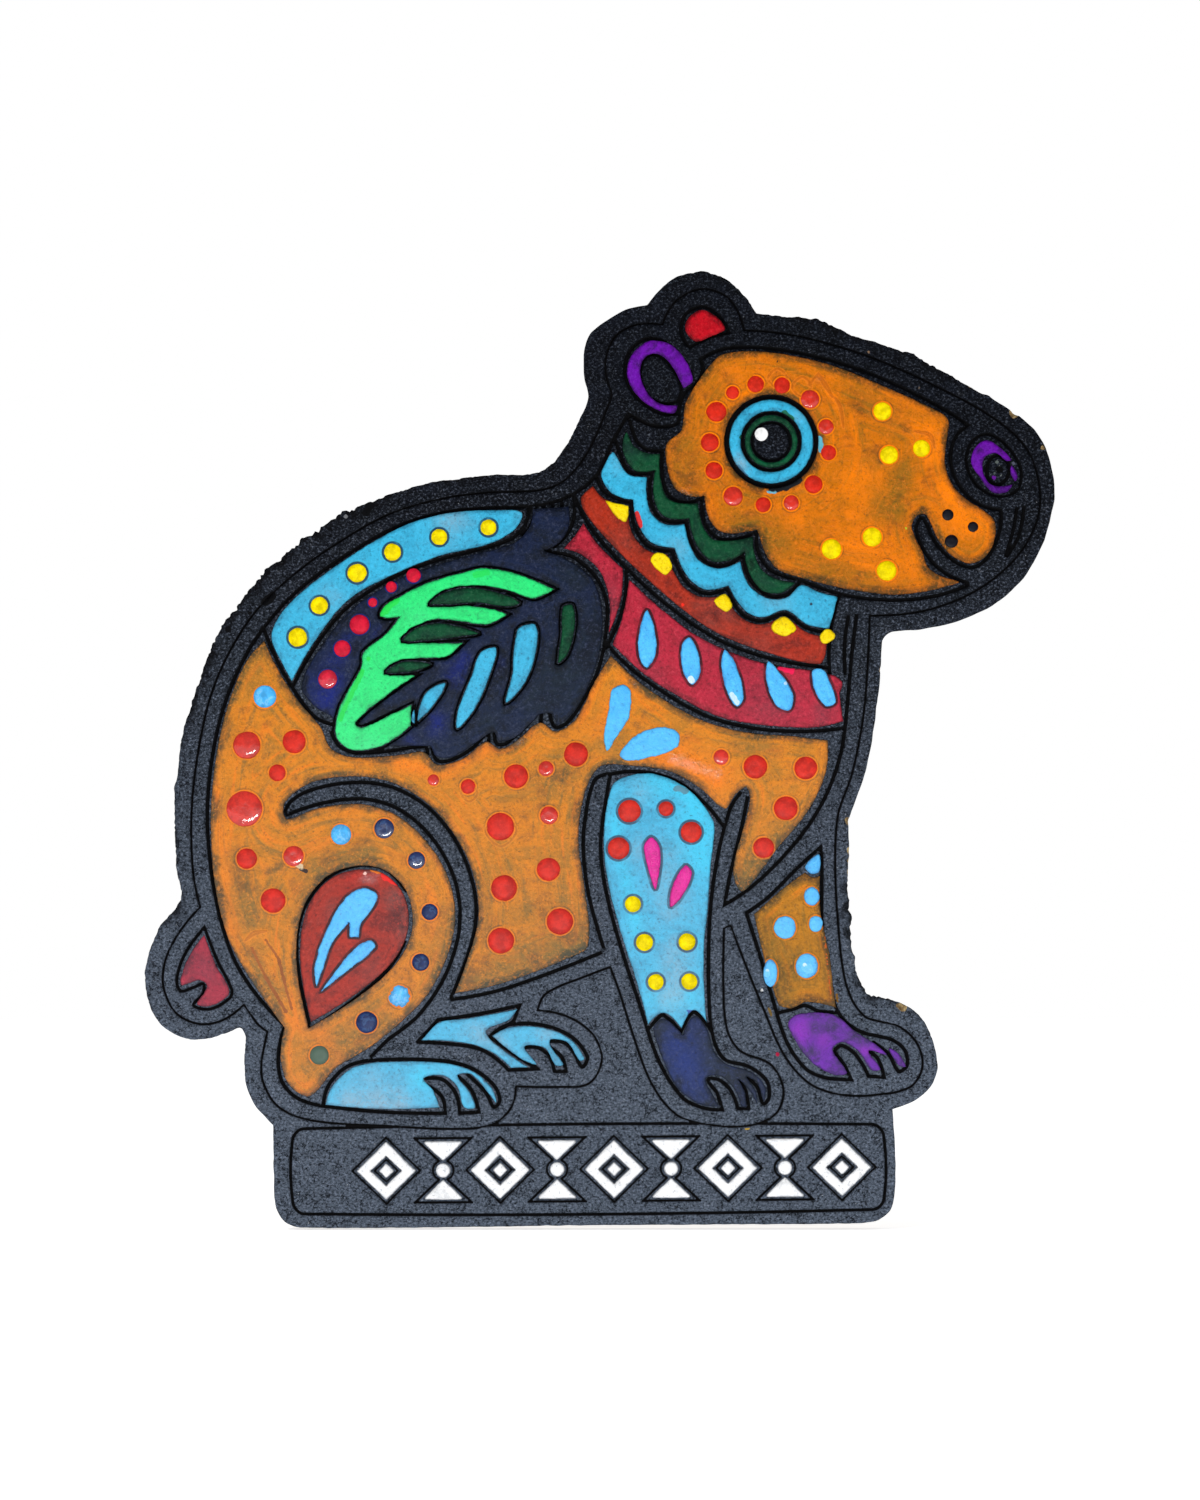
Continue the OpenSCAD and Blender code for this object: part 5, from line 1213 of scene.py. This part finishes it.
def board_edge(places, faces, looks, cut, above, back, front, values):
    """Adds the cut edge, with the cutter's fine upright ripple, and gives the numbers of its last row."""
    into = inward(cut)
    for level in RIM_LEVELS:
        below = []
        down = level / RIM_LEVELS[-1] * (front - back)
        for i, (x, z) in enumerate(cut):
            ripple = 0.03 * wander(i * 0.9, 0.0, 1.0, 3.0) + 0.015 * wander(x * 2, z * 2, 1.0, down * 2)
            pull = 0.02 + 0.025 * level / 3 + ripple
            places.append((x + into[i][0] * pull, front - down, z + into[i][1] * pull))
            below.append(len(places) - 1)
            share, deep = chip_at(x, z)
            values["bare"].append(min(1.0, share * 1.6) if deep * 1.1 > down else 0.0)
            values["soot"].append(max(0.0, 1 - down / 0.35) if level < 2.9 else 0.7)
        for i in range(len(cut)):
            j = (i + 1) % len(cut)
            faces.append((above[j], above[i], below[i], below[j]))
            looks.append(1)
        above = below
    return above


def board_back(places, faces, looks, rim, back, values):
    """Adds the plain back, smoked along its rim."""
    base = np.array(places)[rim][:, [0, 2]]
    reach = Reach([base])
    spread = scattered([base], 1.3, 9)
    spread = spread[within([base], spread)]
    spread = [p for p in spread if reach(p) > 0.7]
    flat, triangles, own = filled([base], [*beside([base], 0.5, reach), *spread], to_front=False)
    match = np.full(len(flat), -1)
    match[own] = rim
    for i, (x, z) in enumerate(flat):
        if match[i] < 0:
            match[i] = len(places)
            places.append((x, back, z))
            values["bare"].append(0.0)
            values["soot"].append(max(0.0, 0.75 - reach((x, z)) / 1.6))
    faces += match[triangles].tolist()
    looks += [2] * len(triangles)


# ---------- magnet ----------
MAGNET_TURNS = 144
BEVEL = 0.35


def turned(name, profile, look, node, wobble):
    """A round piece from a profile of radius and depth pairs, closed at both ends."""
    places = []
    for step, (radius, depth) in enumerate(profile):
        for k in range(MAGNET_TURNS):
            a = 2 * math.pi * k / MAGNET_TURNS
            out = wobble(step, a, radius)
            places.append((out * math.cos(a), depth, out * math.sin(a)))
    faces = [(b, a, d, c) for a, b, c, d in tube_faces(0, len(profile), MAGNET_TURNS)]
    faces.append(tuple(range(MAGNET_TURNS)))
    last = (len(profile) - 1) * MAGNET_TURNS
    faces.append(tuple(last + k for k in reversed(range(MAGNET_TURNS))))
    make_piece(name, places, faces, [look], [node])


def chipped(step, a, r):
    return r - 0.05 * max(0.0, noise.noise((math.cos(a) * 6, math.sin(a) * 6, step * 0.7)))


def oozed(step, a, r):
    bulge = 0.55 + 0.45 * noise.noise((math.cos(a) * 1.4, math.sin(a) * 1.4, 3.0))
    fine = 0.12 * noise.noise((math.cos(a) * 6, math.sin(a) * 6, 9.0))
    return r + (bulge + fine) * (0.4 + 0.25 * step) if 0 < step < 6 else r


def magnet_pieces():
    back, front = depths("magnet_disc")
    radius = (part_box("magnet_disc")[1].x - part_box("magnet_disc")[0].x) / 2 / MM
    profile = [(radius - BEVEL - 0.4, back), (radius - BEVEL, back), (radius - 0.1, back + 0.12)]
    profile += [(radius, back + BEVEL), (radius, front - BEVEL), (radius - 0.1, front - 0.12)]
    profile += [(radius - BEVEL, front), (radius - BEVEL - 0.4, front)]
    turned("magnet_ferrite", profile, ferrite_look(), "magnet_disc", chipped)
    back, front = depths("magnet_glue")
    bead = [(radius - 1, back), (radius - 0.05, back - 0.55), (radius + 0.02, back - 0.5)]
    bead += [(radius + 0.1, back - 0.3), (radius + 0.15, back - 0.1), (radius + 0.2, front - 0.03)]
    bead += [(radius - 0.2, front)]
    turned("magnet_bead_of_glue", bead, glue_look(), "magnet_glue", oozed)


# ---------- building ----------
ORANGE_WAY = {
    "edge": 0.82, "fade": 0.75, "torn": 0.6, "patches": 0.55, "bump": 0.2, "specular": 0.05, "streaks": 0.6,
}
# Brushed paints: their thick, middle, thin, stained and, where it differs, fresh colour, and how they lie
PAINTS = {
    "orange_head": ("d67004 b46608 2c2e1c 785c1a fc8000", dict(painted_sheen=0.014, **ORANGE_WAY)),
    "orange_body": ("da800a b27216 363622 74602a f07a02", dict(painted_sheen=0.04, seed=20.0, **ORANGE_WAY)),
    "orange_leg": ("be7a0e a06812 3c321c 745c20 e87c04", dict(painted_sheen=0.016, seed=30.0, **ORANGE_WAY)),
    "sky": ("34aed6 2e9ac0 143850 8ca6b4 22c2e6", dict(
        edge=0.35, fade=0.3, patches=0.35, painted_sheen=0.1, grain_share=0.65, dark_rings=True,
    )),
    "azure": ("4ab8f4 3ca8e8 2864a8 78bef0", dict(
        edge=0.4, fade=0.16, patches=0.3, painted_sheen=0.09, roughness=0.35, specular=0.12,
    )),
    "navy": ("162452 131d38 07090f 202832 182a6c", dict(
        edge=0.7, fade=0.6, patches=0.85, painted_sheen=0.026, grain_share=0.75, lift=2.0, specular=0.05,
    )),
    "navy_saddle": ("14203e 101828 07090f 16222e 101e70", dict(
        edge=0.7, fade=0.6, patches=0.7, painted_sheen=0.03, grain_share=0.75, lift=2.0, specular=0.05, seed=8.0,
    )),
    "bright_green": ("1ede74 1cc868 10603a 5ae2a0", dict(edge=0.45, fade=0.22, patches=0.25, painted_sheen=0.12)),
    "dark_green": ("084c2c 0a3826 05100e 16322c 0a603c", dict(
        edge=0.55, fade=0.35, patches=0.8, painted_sheen=0.016, grain_share=0.55, lift=2.0, specular=0.05,
    )),
    "crimson": ("b42238 961c2c 320c14 703a46 c4223a", dict(
        edge=0.55, fade=0.4, patches=0.6, painted_sheen=0.036, grain_share=0.7, lift=1.6, specular=0.05,
        dark_rings=True,
    )),
    "tail": ("a01e30 881a28 32101a 6e3846", dict(
        edge=0.5, fade=0.4, patches=0.25, painted_sheen=0.045, lift=1.6, specular=0.05,
    )),
    "ear_red": ("ba0a1c 9c0816 22060c 781e28", dict(
        edge=0.75, fade=0.6, patches=0.4, painted_sheen=0.0, specular=0.05,
    )),
    "brick": ("a82c14 862614 301412 6a4842 ce2816", dict(
        edge=0.5, fade=0.4, patches=0.65, painted_sheen=0.03, grain_share=0.65, lift=1.6, specular=0.05,
        dark_rings=True,
    )),
    "yellow": ("f0d400 e2c400 826404 dcbe14", dict(
        edge=0.5, fade=0.14, patches=0.2, painted_sheen=0.0, roughness=0.35,
    )),
    "purple": ("680aa2 500c7e 1a0c2a 2c283c 8416ac", dict(
        edge=0.5, fade=0.35, patches=0.8, patch_scale=0.7, painted_sheen=0.04, grain_share=0.5, specular=0.05,
    )),
    "magenta": ("dc1692 c2147e 600a40 c83c96", dict(
        edge=0.5, fade=0.14, patches=0.3, painted_sheen=0.03, roughness=0.35, specular=0.12,
    )),
    "white": ("f8f9fa eef0f3 606874 c8cdd4", dict(edge=0.6, fade=0.12, patches=0.35, painted_sheen=0.0)),
}
# Paints that are dropped on: their colour, and how they lie, with the colour of the painted highlight streaks
# on some
DROP_PAINTS = {
    "white": ("fcfcfc", dict(painted_sheen=0.0)),
    "red": ("cc2614", dict(painted_sheen=0.018)),
    "crimson": ("cc0e30", dict()),
    "yellow": ("f0d800", dict(painted_sheen=0.0, satin=0.02)),
    "azure": ("42aef0", dict(glint_streak_colour="aad6fa", painted_sheen=0.06)),
    "navy": ("122658", dict(glint_streak_colour="466ea0", painted_sheen=0.012, satin=0.1)),
    "black": ("080814", dict(painted_sheen=0.0, satin=0.1)),
}
# Each film's node and paint, and the nodes that lie on it
FILMS = [
    ("far_ear_red", "ear_red"), ("near_ear_purple", "purple"),
    ("head_orange", "orange_head", "eye_dots_red", "face_dots_yellow"), ("eye_ring_blue", "sky"),
    ("eye_ring_green", "dark_green"), ("nostril_purple", "purple"), ("scallops_green", "dark_green"),
    ("scallops_blue", "sky"), ("collar_band_red", "brick"), ("collar_dots_yellow", "yellow"),
    ("collar_crimson", "crimson", "collar_drops_blue"), ("collar_drops_blue", "azure"),
    ("nape_wedge_crimson", "crimson"), ("saddle_band_blue", "sky", "saddle_dots_yellow"),
    ("saddle_navy", "navy_saddle", "saddle_dots_red"), ("leaf_green", "bright_green"),
    ("leaf_veins_green", "dark_green"), ("leaf_strips_blue", "sky"),
    ("body_orange", "orange_body", "body_dots_red", "body_dots_blue", "haunch_dots_navy"),
    ("shoulder_strokes_blue", "azure"), ("haunch_leaf_red", "brick", "haunch_leaf_strokes_blue"),
    ("haunch_leaf_strokes_blue", "azure"), ("tail_crimson", "tail"), ("hind_paw_near_blue", "sky"),
    ("hind_paw_far_blue", "sky"),
    (
        "foreleg_near_blue", "sky",
        "foreleg_near_dots_red", "foreleg_near_dots_yellow", "foreleg_near_drops_magenta",
    ),
    ("foreleg_near_drops_magenta", "magenta"), ("paw_near_navy", "navy"),
    ("foreleg_far_orange", "orange_leg", "foreleg_far_dots_blue"), ("foreleg_far_dots_blue", "azure"),
    ("foreleg_far_tip_blue", "azure"), ("paw_far_purple", "purple"), ("plinth_frieze_white", "white"),
]
# Each node of drops and its paint, and those of them that are less round than the others
DROPS = [
    ("eye_glint_white", "white"), ("eye_dots_red", "red"), ("face_dots_yellow", "yellow"),
    ("muzzle_dots_black", "black"), ("saddle_dots_yellow", "yellow"), ("saddle_dots_red", "crimson"),
    ("body_dots_red", "red"), ("body_dots_blue", "azure"), ("haunch_dots_navy", "navy"),
    ("foreleg_near_dots_red", "red"), ("foreleg_near_dots_yellow", "yellow"),
]
UNEVEN_DROPS = {"saddle_dots_yellow": 0.07}


def build_paint():
    brushed = {name: finished_paint("Paint_" + name, codes, **way) for name, (codes, way) in PAINTS.items()}
    dropped = {name: drop_look("Drops_" + name, code, **way) for name, (code, way) in DROP_PAINTS.items()}
    for seed, (node, paint, *on_top) in enumerate(FILMS, 1):
        film_piece(node, brushed[paint], on_top, seed)
    for seed, (node, paint) in enumerate(DROPS, 1):
        drop_piece(node, dropped[paint], seed, UNEVEN_DROPS.get(node, 0.03))


# ---------- studio ----------
# Lengths in metres, powers in watts
FRAME_HEIGHT = 0.125
CAMERA_DISTANCE = 0.9
AMBIENT, REFLECTED = 0.42, 0.2
WHITE = (1.0, 1.0, 1.0, 1.0)
FLOOR_RADIUS, FLOOR_TURNS, FLOOR_GAP, FLOOR_GLOW = 0.7, 96, 0.0001, 0.66
KEY_POWER, FILL_POWER, GLINT_POWER = 3.45, 1.4, 0.11


def camera():
    data = bpy.data.cameras.new("Camera")
    data.sensor_width = 36.0
    data.lens = data.sensor_width * CAMERA_DISTANCE / FRAME_HEIGHT
    data.clip_start = 0.05
    data.clip_end = 20.0
    cam = bpy.data.objects.new("Camera", data)
    cam.location = (0.0, cad_box[0].y - CAMERA_DISTANCE, 0.0)
    cam.rotation_euler = (math.pi / 2, 0.0, 0.0)
    bpy.context.scene.collection.objects.link(cam)
    bpy.context.scene.camera = cam


def area_light(name, place, width, height, power, seen_by):
    """A rectangle of light that looks at the origin and lights only one kind of ray."""
    data = bpy.data.lights.new(name, "AREA")
    data.shape = "RECTANGLE"
    data.size = width
    data.size_y = height
    data.energy = power
    light = bpy.data.objects.new(name, data)
    light.location = place
    light.rotation_euler = (-Vector(place)).to_track_quat("-Z", "Y").to_euler()
    light.visible_camera = False
    light.visible_diffuse = seen_by == "diffuse"
    light.visible_glossy = seen_by == "glossy"
    bpy.context.scene.collection.objects.link(light)


def world():
    """White to the eye, dimmer as a light, and dimmer still in reflections."""
    made = bpy.data.worlds.new("Studio")
    tree = Tree(made)
    glossy, seen = (tree.signal("LightPath", "Is %s Ray" % kind) for kind in ("Glossy", "Camera"))
    dim = tree.signal("Mix", "Result", {"Factor": glossy, "A": AMBIENT, "B": REFLECTED})
    strength = tree.signal("Mix", "Result", {"Factor": seen, "A": dim, "B": 1.0})
    back = tree.signal("Background", 0, {"Color": WHITE, "Strength": strength})
    tree.feed(tree.nodes.new("ShaderNodeOutputWorld"), {"Surface": back})
    bpy.context.scene.world = made


def floor():
    z = cad_box[0].z - FLOOR_GAP
    angles = [2 * math.pi * k / FLOOR_TURNS for k in range(FLOOR_TURNS)]
    ring = [(FLOOR_RADIUS * math.cos(a), FLOOR_RADIUS * math.sin(a), z) for a in angles]
    mesh = bpy.data.meshes.new("Floor")
    mesh.from_pydata(ring, [], [tuple(range(FLOOR_TURNS))])
    obj = bpy.data.objects.new("Floor", mesh)
    bpy.context.scene.collection.objects.link(obj)
    look = Look("Floor_white", roughness=0.9, specular=0.0)
    glow = {"Base Color": (0.93, 0.93, 0.93, 1.0), "Emission Color": WHITE, "Emission Strength": FLOOR_GLOW}
    look.feed(look.shader, glow)
    mesh.materials.append(look.material)


def studio():
    bpy.context.scene.view_settings.view_transform = "Standard"
    camera()
    world()
    floor()
    area_light("Key", (-0.3, -0.8, 0.42), 0.16, 0.16, KEY_POWER, "diffuse")
    area_light("Low_fill", (0.22, -0.85, 0.03), 0.12, 0.12, FILL_POWER, "diffuse")
    area_light("Glint", (0.0, -0.085, -0.036), 0.06, 0.004, GLINT_POWER, "glossy")


board_piece()
magnet_pieces()
build_paint()
studio()
